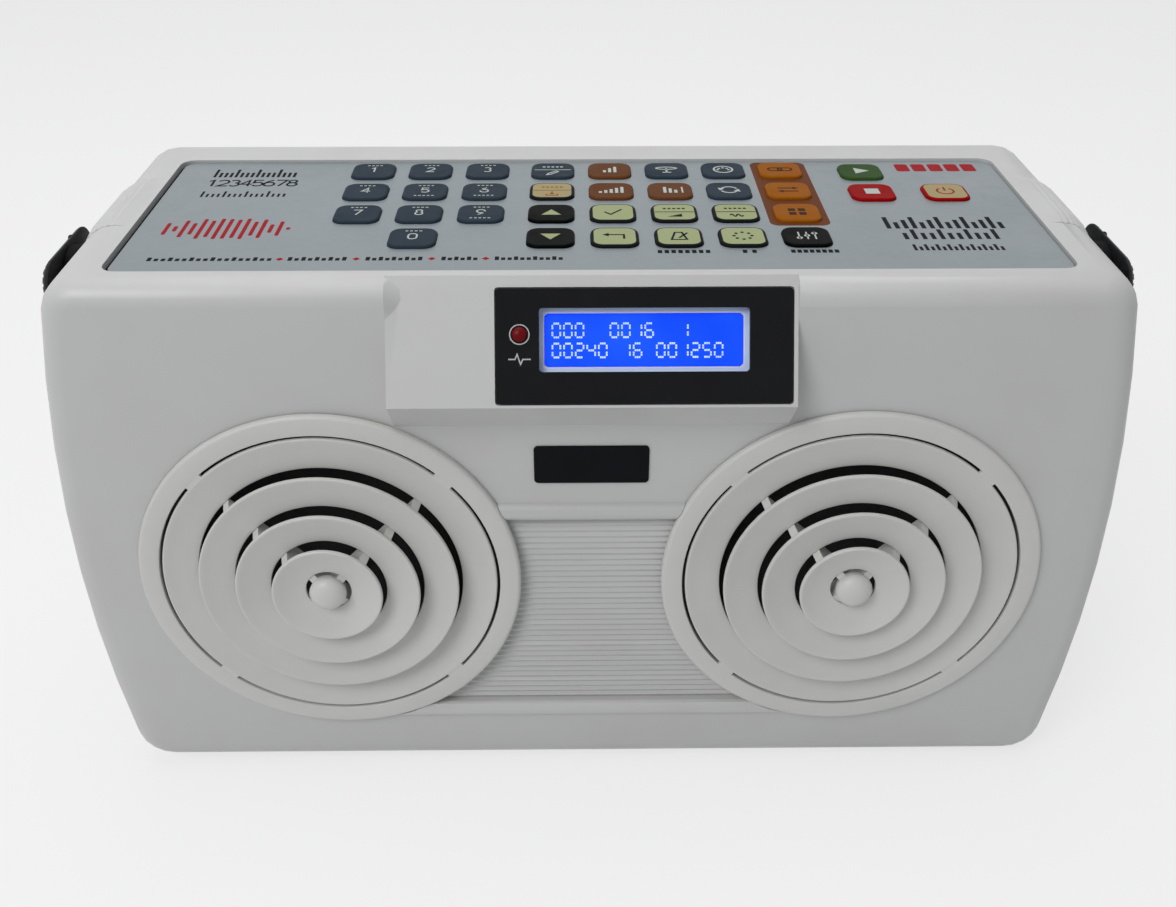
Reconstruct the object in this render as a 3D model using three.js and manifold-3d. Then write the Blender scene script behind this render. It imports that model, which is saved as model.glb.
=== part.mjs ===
// An electronic tabla: a moulded housing with two louvred speaker grilles, a tilted display,
// a key panel on top, sockets at the back and a carrying strap on two side anchors.
// Millimetres and degrees. X is to the right, Y to the back and Z up. While the pieces are made,
// Y zero is the front face of the grille flanges and Z zero is the surface the feet stand on.

import * as THREE from "three";
import { mergeVertices } from "three/addons/utils/BufferGeometryUtils.js";
import Module from "manifold-3d";

const wasm = await Module();
wasm.setup();

// Fits shared by all pieces
const CLEARANCE = 0.3;
const OVERRUN = 6;
const SAME_POINT = 1e-4;
const FINE = 36;
const MEDIUM = 20;
const SMALL = 16;
const COARSE = 10;

// Housing
const BODY_WIDTH = 353;
const BODY_HEIGHT = 195.1;
const BODY_DEPTH = 134;
const WALL = 3;
const SIDE_BOW_RADIUS = 515;
const SIDE_BOW_SHARE = 0.469;
const TOP_CORNER = 12;
const BOTTOM_CORNER = 14;
const EDGE_ROUND = 8;
const LEAST_CORNER = 1;
const FOOT_HEIGHT = 3;
const BOTTOM = FOOT_HEIGHT;
const SIDE_BOW_HEIGHT = BOTTOM + BODY_HEIGHT * SIDE_BOW_SHARE;
const TOP = BOTTOM + BODY_HEIGHT;

// Speaker grilles
const SPEAKER_X_SHARE = 0.25071;
const SPEAKER_X = BODY_WIDTH * SPEAKER_X_SHARE;
const SPEAKER_HEIGHT_SHARE = 0.4434;
const SPEAKER_Z = BOTTOM + BODY_HEIGHT * SPEAKER_HEIGHT_SHARE;
const FLANGE_PROUD = 2.5;
const FRONT = FLANGE_PROUD;
const BACK = FRONT + BODY_DEPTH;
const FLANGE_SHARE = 0.3311;
const FLANGE_RADIUS = BODY_HEIGHT * FLANGE_SHARE;
const FLANGE_BAND = 7.6;
const FLANGE_ROUND = 1.4;
const SLIT_RADIUS = FLANGE_RADIUS - FLANGE_BAND;
const SLIT_WIDTH = 1;
const GRILLE_SEAT_WIDTH = 3;
const GRILLE_HOLE_RADIUS = SLIT_RADIUS + GRILLE_SEAT_WIDTH;
const GRILLE_SKIRT_DEPTH = 2.6;
const RING_GAP = 0.9;
const RING_THICKNESS = 1.4;
const RING_SAG = 0.5;
const LIP_DEPTH = 1.2;
// Each louvre ring: radius of its lip, how far the lip stands forward, how far the ring falls inwards
const LIP_SHARES = [0.7667, 0.5421, 0.3246];
const RINGS = [
  { lip: SLIT_RADIUS - SLIT_WIDTH / 2, rise: 0, fall: 1.6 },
  { lip: SLIT_RADIUS * LIP_SHARES[0], rise: 3.6, fall: 2.2 },
  { lip: SLIT_RADIUS * LIP_SHARES[1], rise: 6.6, fall: 3 },
  { lip: SLIT_RADIUS * LIP_SHARES[2], rise: 8.5, fall: 3.5 },
];
const BOSS_HOLE_RADIUS = 7.6;
const BOSS_RADIUS = 6.2;
const BOSS_RISE = 6.4;
const BOSS_DOME = 3.8;
const BOSS_DEPTH = 3;
const BOSS_BEVEL = 0.5;
const SPOKE_WIDTH = 2.8;
const SPOKE_BACK = 2.4;
const SPOKE_SUNK = 0.5;
const SPOKE_ANGLES = [45, 135];
const BRIDGE_WIDTH = 7;
const BRIDGE_SUNK = 0.15;

// Ribbed field between the grilles
const FIELD_TOP_SHARE = 0.414;
const FIELD_BOTTOM_SHARE = 1.0035;
const FIELD_TOP = SPEAKER_Z + SLIT_RADIUS * FIELD_TOP_SHARE;
const FIELD_BOTTOM = SPEAKER_Z - SLIT_RADIUS * FIELD_BOTTOM_SHARE;
const FIELD_DEPTH = 2.4;
const FIELD_UNDER_FLANGE = 52;
const FIELD_HALF_WIDTH = SPEAKER_X - FLANGE_RADIUS + FIELD_UNDER_FLANGE;
const RIB_COUNT = 34;
const RIB_HEIGHT = 0.9;
const RIB_CREST_SHARE = 0.6;
const BEAD_HEIGHT = 6.2;
const BEAD_PROUD = 2;
const BEAD_STEPS = 6;

// Display pod
const POD_TILT = 28;
const POD_WIDTH = 125.2;
const POD_REACH = 10.1;
const POD_LIP_SHARE = 0.18145;
const POD_LIP_BELOW_TOP = BODY_HEIGHT * POD_LIP_SHARE;
const POD_FACE_SHARE = 0.1917;
const POD_FACE = BODY_HEIGHT * POD_FACE_SHARE;
const POD_BEVEL_SHARE = 0.0687;
const POD_BEVEL_DROP = BODY_HEIGHT * POD_BEVEL_SHARE;
const POD_INNER_DEPTH = 27;
const POD_END_SLOPE = { width: 7.6, rise: 4 };
const WINDOW_WIDTH = 90.3;
const WINDOW_MARGIN = 2.3;
const WINDOW_HEIGHT = POD_FACE - WINDOW_MARGIN;
const WINDOW_X = 15.9;
const WINDOW_THICKNESS = 1.5;
const WINDOW_PROUD = 0.2;
const WINDOW_CORNER = 1;
const LCD_WIDTH = 63.9;
const LCD_HEIGHT = 19.3;
const LCD_BELOW_FACE_TOP = 16.8;
const LCD_UP = POD_FACE / 2 - LCD_BELOW_FACE_TOP;
const LCD_FRAME_MARGIN = 1.45;
const LCD_SEAT_MARGIN = 1;
const LCD_SIDE_MARGIN = 1.7;
const LCD_FRAME_DEPTH = 7.5;
const LCD_GLASS_DEPTH = 4;
const LCD_GLASS_SUNK = 0.8;
const LED_X = -22;
const LED_UP = 3.6;
const LED_RADIUS = 2.5;
const LED_COLLAR_RADIUS = 3.2;
const LED_COLLAR = 1;
const LED_PROUD = 1.2;
const LED_DOME_STEPS = 2;

// Key panel and its keys
const PANEL_SIDE_MARGIN = 27.3;
const PANEL_WIDTH = BODY_WIDTH - 2 * PANEL_SIDE_MARGIN;
const PANEL_FRONT_MARGIN = 10.15;
const PANEL_BACK_MARGIN = 21.95;
const PANEL_DEPTH = BODY_DEPTH - PANEL_FRONT_MARGIN - PANEL_BACK_MARGIN;
const PANEL_FRONT = FRONT + PANEL_FRONT_MARGIN;
const PANEL_Y = PANEL_FRONT + PANEL_DEPTH / 2;
const PANEL_CORNER = 5;
const PANEL_SUNK = 0.9;
const PANEL_SIDE_GAP = 0.7;
const PANEL_THICKNESS = 1;
const PANEL_LEDGE = 3;
const PANEL_BACK_LEDGE = 0.6;
const KEY_SIZE = 15.5;
const KEY_CORNER = 4;
const KEY_CORNER_STEPS = 2;
const KEY_RISE = 1;
const KEY_CROWN = 0.7;
const KEY_TRAVEL = 0.4;
const KEY_STEM = 0.9;
const KEY_X_SHARES = { pitch: 0.06937, digits: -0.2614, functions: -0.04323, start: 0.3321, power: 0.41823 };
const KEY_PITCH_X = PANEL_WIDTH * KEY_X_SHARES.pitch;
const KEY_PITCH_Y_SHARE = 0.20756;
const KEY_PITCH_Y = PANEL_DEPTH * KEY_PITCH_Y_SHARE;
const KEY_BACK_MARGIN = 11.85;
const KEY_BACK_ROW = PANEL_FRONT + PANEL_DEPTH - KEY_BACK_MARGIN;
const DIGIT_FIRST_X = PANEL_WIDTH * KEY_X_SHARES.digits;
const FUNCTION_FIRST_X = PANEL_WIDTH * KEY_X_SHARES.functions;
const START_X = PANEL_WIDTH * KEY_X_SHARES.start;
const POWER_X = PANEL_WIDTH * KEY_X_SHARES.power;
const CONTROL_SHIFT = 1.8;
const KEYPAD_BOARD_THICKNESS = 1.6;
// Keys by row from the back, in the order of KEY_COLUMNS, null where the grid has none
const KEY_ROWS = [
  ["key_1", "key_2", "key_3", "edit_key", "short_fill_key", "cymbal_key", "midi_key",
    "chain_key", "start_key", null],
  ["key_4", "key_5", "key_6", "store_key", "long_fill_key", "ending_key", "sync_key",
    "chain_change_key", "stop_key", "power_key"],
  ["key_7", "key_8", "key_9", "up_key", "ok_key", "volume_key", "pitch_key",
    "group_key", null, null],
  [null, "key_0", null, "down_key", "back_key", "tempo_key", "cycle_key", "mode_key", null, null],
];
const KEY_COLUMNS = [
  ...[0, 1, 2].map((i) => DIGIT_FIRST_X + i * KEY_PITCH_X),
  ...[0, 1, 2, 3, 4].map((i) => FUNCTION_FIRST_X + i * KEY_PITCH_X),
  START_X,
  POWER_X,
];

// Ribbed grips over the top side edges
const GRIP_FROM_FRONT = 47.5;
const GRIP_FRONT = FRONT + GRIP_FROM_FRONT;
const GRIP_LENGTH = 44;
const GRIP_END = 7;
const GRIP_RISE = 1.2;
const GRIP_RIB_DEPTH = 0.4;
const GRIP_DROP = 26;
const GRIP_OVER_TOP = 4;
const GRIP_SIDE_RIBS = 6;
const GRIP_CORNER_RIBS = 8;

// Rear cover
const COVER_THICKNESS = 2.8;
const COVER_RIM = 1.5;
const COVER_LEDGE = 3;
const COVER_LEDGE_WIDTH = 3;
const VENT_COUNT = 9;
const VENT_WIDTH = 2.4;
const VENT_HEIGHT = 34;
const VENT_PITCH = 6.4;
const VENT_INSET = 84.5;
const VENT_X = VENT_INSET - BODY_WIDTH / 2;
const VENT_HEIGHT_SHARE = 0.605;
const VENT_Z = BOTTOM + BODY_HEIGHT * VENT_HEIGHT_SHARE;

// Sockets in the rear cover
const SOCKET_ABOVE_BOTTOM = 38;
const SOCKET_Z = BOTTOM + SOCKET_ABOVE_BOTTOM;
const INLET_INSET = 64.5;
const INLET_X = INLET_INSET - BODY_WIDTH / 2;
const INLET = { width: 22, height: 13, depth: 20, flange: 3, plate: 1.6 };
const INLET_RECESS = { width: 16, height: 8.8, depth: 13 };
const PIN_RADIUS = 1.2;
const PIN_SPACING = 8.6;
const PIN_SHORT = 2;
const DIN = { barrel: 8.8, flange: 11, plate: 1.4, depth: 15, shell: 6.9, core: 5.6, groove: 8 };
const JACK_INSET = 60.5;
const JACK_X = BODY_WIDTH / 2 - JACK_INSET;
const JACK = { barrel: 5.6, flange: 8, plate: 2, depth: 26, bore: 3.2, boreDepth: 22 };
const DIN_FROM_JACK = 36;
const DIN_PITCH = 28;
const DIN_XS = {
  midi_out_socket: JACK_X - DIN_FROM_JACK - DIN_PITCH,
  midi_in_socket: JACK_X - DIN_FROM_JACK,
};

// Speakers behind the grilles
const BASKET_OVER_HOLE = 2.8;
const BASKET_FLANGE_RADIUS = GRILLE_HOLE_RADIUS + BASKET_OVER_HOLE;
const BASKET_FLANGE = 2;
const BASKET_INSIDE_HOLE = 6;
const BASKET_INNER_RADIUS = GRILLE_HOLE_RADIUS - BASKET_INSIDE_HOLE;
const BASKET_WAIST_SHARE = 0.611;
const BASKET_WAIST_RADIUS = BASKET_INNER_RADIUS * BASKET_WAIST_SHARE;
const BASKET_DEPTH = 26;
const BASKET_WALL = 2;
const MAGNET_OVER_WAIST = 2;
const MAGNET_RADIUS = BASKET_WAIST_RADIUS + MAGNET_OVER_WAIST;
const MAGNET_DEPTH = 18;
const SURROUND_WIDTH = 6;
const SURROUND_PROUD = 2;
const CONE_NECK_RADIUS = 16;
const CONE_DEPTH = 19;
const CONE_WALL = 1.2;
const DUST_CAP_RISE = 5;

// Boards inside
const STANDOFF_RADIUS = 3.5;
const STANDOFF_HEIGHT = 8;
const STANDOFF_INSET = 6;
const BOARD_THICKNESS = 1.6;
const BOARD_DEPTH = 44;
const BOARD_BACK_MARGIN = 22;
const BOARD_Y = BACK - BOARD_BACK_MARGIN - BOARD_DEPTH / 2;
const BOARD_SHARES = { mainX: 0.1133, mainWidth: 0.4249, powerX: -0.2833, powerWidth: 0.238 };
const MAIN_BOARD = {
  x: BODY_WIDTH * BOARD_SHARES.mainX,
  y: BOARD_Y,
  width: BODY_WIDTH * BOARD_SHARES.mainWidth,
  depth: BOARD_DEPTH,
};
const CHIP = { width: 24, depth: 24, height: 3, x: -30 };
const HEAT_SINK = { width: 40, depth: 12, height: 16, x: 40 };
const POWER_BOARD = {
  x: BODY_WIDTH * BOARD_SHARES.powerX,
  y: BOARD_Y,
  width: BODY_WIDTH * BOARD_SHARES.powerWidth,
  depth: BOARD_DEPTH,
};
const TRANSFORMER = { width: 46, depth: 38, height: 36, x: -12 };
const CAPACITOR = { radius: 8, height: 24, x: 28 };

// Feet
const FOOT_RADIUS = 9;
const FOOT_TOP_RADIUS = 10;
const FOOT_STUD_RADIUS = 3;
const FOOT_STUD_LENGTH = 1.6;
const FOOT_INSET_X = 48.5;
const FOOT_X = BODY_WIDTH / 2 - FOOT_INSET_X;
const FOOT_INSET_Y = 26;

// Carrying strap and its anchors
const STRAP_PIVOT_FROM_FRONT = 47.5;
const STRAP_PIVOT_Y = FRONT + STRAP_PIVOT_FROM_FRONT;
const STRAP_PIVOT_BELOW_TOP = 17.1;
const STRAP_PIVOT_Z = TOP - STRAP_PIVOT_BELOW_TOP;
const STRAP_BOSS_RADIUS = 9.5;
const STRAP_BOSS_DEPTH = 11;
const STRAP_BOSS_SUNK = 4.1;
const STRAP_BOSS_FACE = BODY_WIDTH / 2 - STRAP_BOSS_SUNK;
const STRAP_WIDTH = 26;
const STRAP_THICKNESS = 2.2;
const STRAP_LENGTH_SHARE = 1.0112;
const STRAP_LENGTH = BODY_DEPTH * STRAP_LENGTH_SHARE;
const STRAP_SLOPE = 41;
const STRAP_SIDE_GAP = 1;
const STRAP_FLARE_START = 14;
const STRAP_FLARE_END = 46;
const STRAP_BEND = 14;
const STRAP_BEND_STEPS = 4;
const STRAP_HEAD_LENGTH = 44;
const STRAP_HEAD_HEIGHT = 22;
const STRAP_HEAD_CORNER = 9;
const STRAP_HEAD_PROUD = 3.4;
// The padded head, level by level: its share of the way out, and how far it is drawn in there
const STRAP_HEAD_LEVELS = [
  { share: 0, inset: 0.7 },
  { share: 0.3, inset: 0 },
  { share: 0.65, inset: 1.1 },
  { share: 0.9, inset: 3.4 },
  { share: 1, inset: 6.5 },
];
const ANCHOR_STUD_RADIUS = 3;
const ANCHOR_BORE_DEPTH = 8;
const ANCHOR_CAP_RADIUS = 6.5;
const ANCHOR_CAP_HEIGHT = 1.2;
const ANCHOR_CAP_ROUND = 0.5;

// Views: the frames in which outlines are drawn, with local z towards the one who looks
const FRONT_VIEW = new THREE.Matrix4().makeRotationX(Math.PI / 2);
const BACK_VIEW = new THREE.Matrix4().makeBasis(
  new THREE.Vector3(-1, 0, 0),
  new THREE.Vector3(0, 0, 1),
  new THREE.Vector3(0, 1, 0),
);
const SIDE_VIEW = new THREE.Matrix4().makeBasis(
  new THREE.Vector3(0, 1, 0),
  new THREE.Vector3(0, 0, 1),
  new THREE.Vector3(1, 0, 0),
);

const radians = THREE.MathUtils.degToRad;
const steps = (count) => Array.from({ length: count + 1 }, (_, i) => i / count);
const point = (x, y) => new THREE.Vector2(x, y);
const moved = (x, y, z) => new THREE.Matrix4().makeTranslation(x, y, z);
const seen = (view, x, y, z) => moved(x, y, z).multiply(view);

// The closed solid of a geometry, placed by a matrix, with its faces turned out
function solid(geometry, matrix = new THREE.Matrix4()) {
  const bare = new THREE.BufferGeometry();
  const flat = geometry.index ? geometry.toNonIndexed() : geometry;
  bare.setAttribute("position", flat.getAttribute("position").clone());
  bare.applyMatrix4(matrix);
  const merged = mergeVertices(bare, SAME_POINT);
  const corners = merged.index.array;
  const whole = [];
  for (let i = 0; i < corners.length; i += 3) {
    const [a, b, c] = corners.slice(i, i + 3);
    if (a !== b && b !== c && c !== a) whole.push([a, b, c]);
  }
  const build = (triangles) =>
    new wasm.Manifold(
      new wasm.Mesh({
        numProp: 3,
        vertProperties: Float32Array.from(merged.attributes.position.array),
        triVerts: Uint32Array.from(triangles.flat()),
      }),
    );
  const made = build(whole);
  return made.volume() < 0 ? build(whole.map(([a, b, c]) => [a, c, b])) : made;
}

const join = (first, ...others) => others.reduce((sum, other) => sum.add(other), first);
const cut = (first, ...others) => others.reduce((rest, other) => rest.subtract(other), first);

// An outline drawn in a view, thickened from one level of that view to another
function prism(outline, from, to, matrix, hole) {
  const shape = new THREE.Shape(outline);
  if (hole) shape.holes.push(new THREE.Path(hole));
  const geometry = new THREE.ExtrudeGeometry(shape, { depth: to - from, bevelEnabled: false });
  return solid(geometry.translate(0, 0, from), matrix);
}

// A skin over outlines of equal point count, each at its level, capped at both ends
function loft(given, matrix) {
  const turned = THREE.ShapeUtils.isClockWise(given[0].outline);
  const levels = given.map(({ outline, level }) => ({
    outline: turned ? [...outline].reverse() : outline,
    level,
  }));
  const count = levels[0].outline.length;
  const positions = levels.flatMap(({ outline, level }) => outline.flatMap((p) => [p.x, p.y, level]));
  const index = [];
  for (let i = 0; i + 1 < levels.length; i++) {
    for (let j = 0; j < count; j++) {
      const a = i * count + j;
      const b = i * count + ((j + 1) % count);
      index.push(a, b, b + count, a, b + count, a + count);
    }
  }
  const last = (levels.length - 1) * count;
  const cap = (outline) => THREE.ShapeUtils.triangulateShape(outline, []);
  for (const [a, b, c] of cap(levels[0].outline)) index.push(a, c, b);
  for (const [a, b, c] of cap(levels[levels.length - 1].outline)) index.push(last + a, last + b, last + c);
  const geometry = new THREE.BufferGeometry();
  geometry.setAttribute("position", new THREE.Float32BufferAttribute(positions, 3));
  geometry.setIndex(index);
  return solid(geometry, matrix);
}

// A profile of radius and level, turned about the view's z axis
function revolve(profile, matrix, facets = MEDIUM) {
  const geometry = new THREE.LatheGeometry(profile.map(([r, level]) => point(r, level)), facets);
  return solid(geometry.rotateX(Math.PI / 2), matrix);
}

const cylinder = (radius, from, to, matrix, facets = MEDIUM) =>
  revolve([[0, from], [radius, from], [radius, to], [0, to]], matrix, facets);

function box(width, depth, height, x, y, z) {
  return solid(new THREE.BoxGeometry(width, depth, height), moved(x, y, z));
}

// A rectangle with rounded corners, drawn about the origin
function roundedRectangle(width, height, corner, cornerSteps = 4) {
  const outline = [];
  const right = width / 2 - corner;
  const up = height / 2 - corner;
  for (const [x, y, start] of [[right, up, 0], [-right, up, 1], [-right, -up, 2], [right, -up, 3]]) {
    for (const share of steps(cornerSteps)) {
      const angle = ((start + share) * Math.PI) / 2;
      outline.push(point(x + corner * Math.cos(angle), y + corner * Math.sin(angle)));
    }
  }
  return outline;
}

// A convex outline, counter-clockwise, with every side drawn in by the same distance
function drawnIn(outline, distance) {
  const sides = outline.map((from, i) => {
    const along = outline[(i + 1) % outline.length].clone().sub(from).normalize();
    return { from: from.clone().add(point(-along.y, along.x).multiplyScalar(distance)), along };
  });
  return sides.map((side, i) => {
    const before = sides[(i + sides.length - 1) % sides.length];
    const gap = side.from.clone().sub(before.from);
    const run = gap.cross(side.along) / before.along.cross(side.along);
    return before.from.clone().add(before.along.clone().multiplyScalar(run));
  });
}

// The right half of the housing's outline seen from the front, from the bottom up to the top
function rightOutline(inset) {
  const bowX = BODY_WIDTH / 2 - SIDE_BOW_RADIUS;
  const bow = SIDE_BOW_RADIUS - inset;
  const corner = (radius, edge, turn) => {
    const round = Math.max(radius - inset, LEAST_CORNER);
    const z = edge - turn * (inset + round);
    const x = bowX + Math.sqrt((bow - round) ** 2 - (z - SIDE_BOW_HEIGHT) ** 2);
    return { x, z, round, turn, side: Math.asin((z - SIDE_BOW_HEIGHT) / (bow - round)) };
  };
  const low = corner(BOTTOM_CORNER, BOTTOM, -1);
  const high = corner(TOP_CORNER, TOP, 1);
  const arc = ({ x, z, round }, from, to) =>
    steps(4).map((share) => {
      const angle = from + (to - from) * share;
      return point(x + round * Math.cos(angle), z + round * Math.sin(angle));
    });
  const side = steps(7)
    .slice(1, -1)
    .map((share) => {
      const angle = low.side + (high.side - low.side) * share;
      return point(bowX + bow * Math.cos(angle), SIDE_BOW_HEIGHT + bow * Math.sin(angle));
    });
  return [...arc(low, -Math.PI / 2, low.side), ...side, ...arc(high, high.side, Math.PI / 2)];
}

function housingOutline(inset) {
  const right = rightOutline(inset);
  return [...right, ...right.map((p) => point(-p.x, p.y)).reverse()];
}

// The rounding of the front and back edges: steps in from the outline, and back from the face
const edgeRoundings = steps(4).map((share) => {
  const angle = (share * Math.PI) / 2;
  return { inset: EDGE_ROUND * (1 - Math.sin(angle)), run: EDGE_ROUND * (1 - Math.cos(angle)) };
});

// The housing's outer form, with its front and back edges rounded
function bodyForm() {
  const level = (inset, y) => ({ outline: housingOutline(inset), level: -y });
  const front = edgeRoundings.map(({ inset, run }) => level(inset, FRONT + run));
  const back = edgeRoundings.map(({ inset, run }) => level(inset, BACK - run));
  return loft([...front, ...back.reverse()], FRONT_VIEW);
}

// The display pod's plane, lip and side profile, in the side view
const tilt = radians(POD_TILT);
const podLip = point(-POD_REACH, TOP - POD_LIP_BELOW_TOP);
const podCentre = podLip.clone().add(point(Math.sin(tilt), Math.cos(tilt)).multiplyScalar(POD_FACE / 2));
const podPoint = (up, out) =>
  point(
    podCentre.x + up * Math.sin(tilt) - out * Math.cos(tilt),
    podCentre.y + up * Math.cos(tilt) + out * Math.sin(tilt),
  );
const POD_VIEW = moved(0, podCentre.x, podCentre.y).multiply(
  new THREE.Matrix4().makeRotationX(Math.PI / 2 - tilt),
);
const podHalf = POD_WIDTH / 2;
const upAtTop = (TOP - podCentre.y) / Math.cos(tilt);

function podProfile() {
  const low = podLip.y - POD_BEVEL_DROP;
  return [
    podLip,
    point(FRONT, low),
    point(FRONT + POD_INNER_DEPTH, low),
    point(FRONT + POD_INNER_DEPTH, TOP),
    podPoint(upAtTop, 0),
  ];
}

// All that lies in front of the pod's plane, drawn back by a depth
function beforePod(depth, halfWidth) {
  const outline = [
    podPoint(0, -depth),
    podPoint(upAtTop + OVERRUN, -depth),
    point(FRONT - OVERRUN, TOP + OVERRUN),
    point(FRONT - OVERRUN, podPoint(0, -depth).y),
  ];
  return prism(outline, -halfWidth, halfWidth, SIDE_VIEW);
}

// The sloped left end of the pod's recess: the body's front edge, sinking below the pod's plane
function recessEnd() {
  const sink = POD_END_SLOPE.rise / POD_END_SLOPE.width;
  const view = new THREE.Matrix4().makeBasis(
    new THREE.Vector3(0, 1, 0),
    new THREE.Vector3(0, 0, 1),
    new THREE.Vector3(1, sink * Math.cos(tilt), -sink * Math.sin(tilt)),
  );
  const outline = [
    point(FRONT, podCentre.y),
    ...edgeRoundings.map(({ inset, run }) => point(FRONT + run, TOP - inset)),
    point(FRONT + POD_INNER_DEPTH, TOP),
    point(FRONT + POD_INNER_DEPTH, podCentre.y),
  ];
  return prism(outline, 0, POD_END_SLOPE.width, view.setPosition(-podHalf, 0, 0));
}

function housingCavity() {
  const ledge = BACK - COVER_THICKNESS - COVER_LEDGE;
  const seat = BACK - COVER_THICKNESS;
  const room = prism(housingOutline(WALL), -ledge, -(FRONT + WALL), FRONT_VIEW);
  const mouth = prism(housingOutline(EDGE_ROUND + COVER_RIM + COVER_LEDGE_WIDTH),
    -(BACK + OVERRUN), -(ledge - OVERRUN), FRONT_VIEW);
  const rest = prism(housingOutline(EDGE_ROUND + COVER_RIM), -(BACK + OVERRUN), -seat, FRONT_VIEW);
  const podRoom = prism(drawnIn(podProfile(), WALL), WALL - podHalf, podHalf - WALL, SIDE_VIEW);
  const shaped = join(cut(room, beforePod(WALL, podHalf + WALL)), podRoom);
  return join(cut(shaped, keypadTray(), ...wallBosses()), mouth, rest);
}

// Levels of the key panel's layers, from the top of the housing down
const panelTop = TOP - PANEL_SUNK;
const panelBottom = panelTop - PANEL_THICKNESS;
const keyBottom = panelBottom - KEY_STEM;
const keypadBoardTop = keyBottom - KEY_TRAVEL - CLEARANCE;
const keypadBoardBottom = keypadBoardTop - KEYPAD_BOARD_THICKNESS;
const panelMatrix = moved(0, PANEL_Y, 0);
const panelOutline = (grow, sideGap = 0) =>
  roundedRectangle(PANEL_WIDTH + 2 * (grow + sideGap), PANEL_DEPTH + 2 * grow, PANEL_CORNER);
const pocketDepth = PANEL_DEPTH - PANEL_LEDGE - PANEL_BACK_LEDGE;
const pocketMatrix = moved(0, PANEL_FRONT + PANEL_LEDGE + pocketDepth / 2, 0);
const pocketOutline = (grow) =>
  roundedRectangle(PANEL_WIDTH - 2 * PANEL_LEDGE + 2 * grow, pocketDepth + 2 * grow, PANEL_CORNER);

// The moulded floor under the key panel, and the recess and pocket cut into it
const keypadTray = () =>
  prism(panelOutline(WALL), keypadBoardBottom - CLEARANCE - WALL, TOP, panelMatrix);
const keypadRecess = () => [
  prism(panelOutline(0, PANEL_SIDE_GAP), panelBottom - CLEARANCE, TOP + OVERRUN, panelMatrix),
  prism(pocketOutline(0), keypadBoardBottom - CLEARANCE, TOP, pocketMatrix),
];

// Inner bosses that the cavity leaves standing: board standoffs and strap bosses
const boardTop = BOTTOM + WALL + STANDOFF_HEIGHT;
const footPlaces = [-1, 1].flatMap((side) =>
  [FRONT + FOOT_INSET_Y, BACK - FOOT_INSET_Y].map((y) => [side * FOOT_X, y]));

function standoffPlaces({ x, y, width, depth }) {
  const across = width / 2 - STANDOFF_INSET;
  const along = depth / 2 - STANDOFF_INSET;
  return [[-1, -1], [1, -1], [-1, 1], [1, 1]].map(([i, j]) => [x + i * across, y + j * along]);
}

function wallBosses() {
  const standoffs = [MAIN_BOARD, POWER_BOARD].flatMap(standoffPlaces);
  return [
    ...standoffs.map(([x, y]) => cylinder(STANDOFF_RADIUS, BOTTOM, boardTop, moved(x, y, 0), COARSE)),
    ...[-1, 1].map((side) => strapBoss(side, STRAP_BOSS_FACE)),
  ];
}

// A view along X from outside, at the strap's pivot, for the left (-1) or right (1) side
const pivotView = (side) =>
  seen(new THREE.Matrix4().makeRotationY((side * Math.PI) / 2), 0, STRAP_PIVOT_Y, STRAP_PIVOT_Z);
const strapBoss = (side, face) =>
  cylinder(STRAP_BOSS_RADIUS, face - STRAP_BOSS_DEPTH, face, pivotView(side));

// The ribbed field's cutter: a recess whose floor is a row of ribs
function ribbedField() {
  const floor = FRONT + FIELD_DEPTH;
  const pitch = (FIELD_TOP - FIELD_BOTTOM) / RIB_COUNT;
  const outline = [point(FRONT - OVERRUN, FIELD_TOP), point(FRONT - OVERRUN, FIELD_BOTTOM)];
  for (let i = 0; i < RIB_COUNT; i++) {
    outline.push(point(floor, FIELD_BOTTOM + i * pitch));
    outline.push(point(floor - RIB_HEIGHT, FIELD_BOTTOM + (i + RIB_CREST_SHARE) * pitch));
  }
  outline.push(point(floor, FIELD_TOP));
  return prism(outline, -FIELD_HALF_WIDTH, FIELD_HALF_WIDTH, SIDE_VIEW);
}

const speakerDiscs = (radius, from, to) =>
  [-1, 1].map((side) => cylinder(radius, -to, -from, seen(FRONT_VIEW, side * SPEAKER_X, 0, SPEAKER_Z), FINE));

// The rolled beads above and below the ribbed field
function beads() {
  return [FIELD_TOP + BEAD_HEIGHT / 2, FIELD_BOTTOM - BEAD_HEIGHT / 2].map((z) => {
    const roll = steps(BEAD_STEPS).map((share) => {
      const angle = share * Math.PI;
      return point(FRONT - BEAD_PROUD * Math.sin(angle), z + (BEAD_HEIGHT / 2) * Math.cos(angle));
    });
    const root = [point(FRONT + WALL / 2, z - BEAD_HEIGHT / 2), point(FRONT + WALL / 2, z + BEAD_HEIGHT / 2)];
    return prism([...roll, ...root], -FIELD_HALF_WIDTH, FIELD_HALF_WIDTH, SIDE_VIEW);
  });
}

// The backing that keeps the wall's thickness behind the ribbed field
function fieldBacking() {
  const outline = [
    point(FRONT + WALL / 2, FIELD_BOTTOM - WALL),
    point(FRONT + FIELD_DEPTH + WALL, FIELD_BOTTOM - WALL),
    point(FRONT + FIELD_DEPTH + WALL, FIELD_TOP + WALL),
    point(FRONT + WALL / 2, FIELD_TOP + WALL),
  ];
  return prism(outline, -FIELD_HALF_WIDTH, FIELD_HALF_WIDTH, SIDE_VIEW);
}

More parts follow.
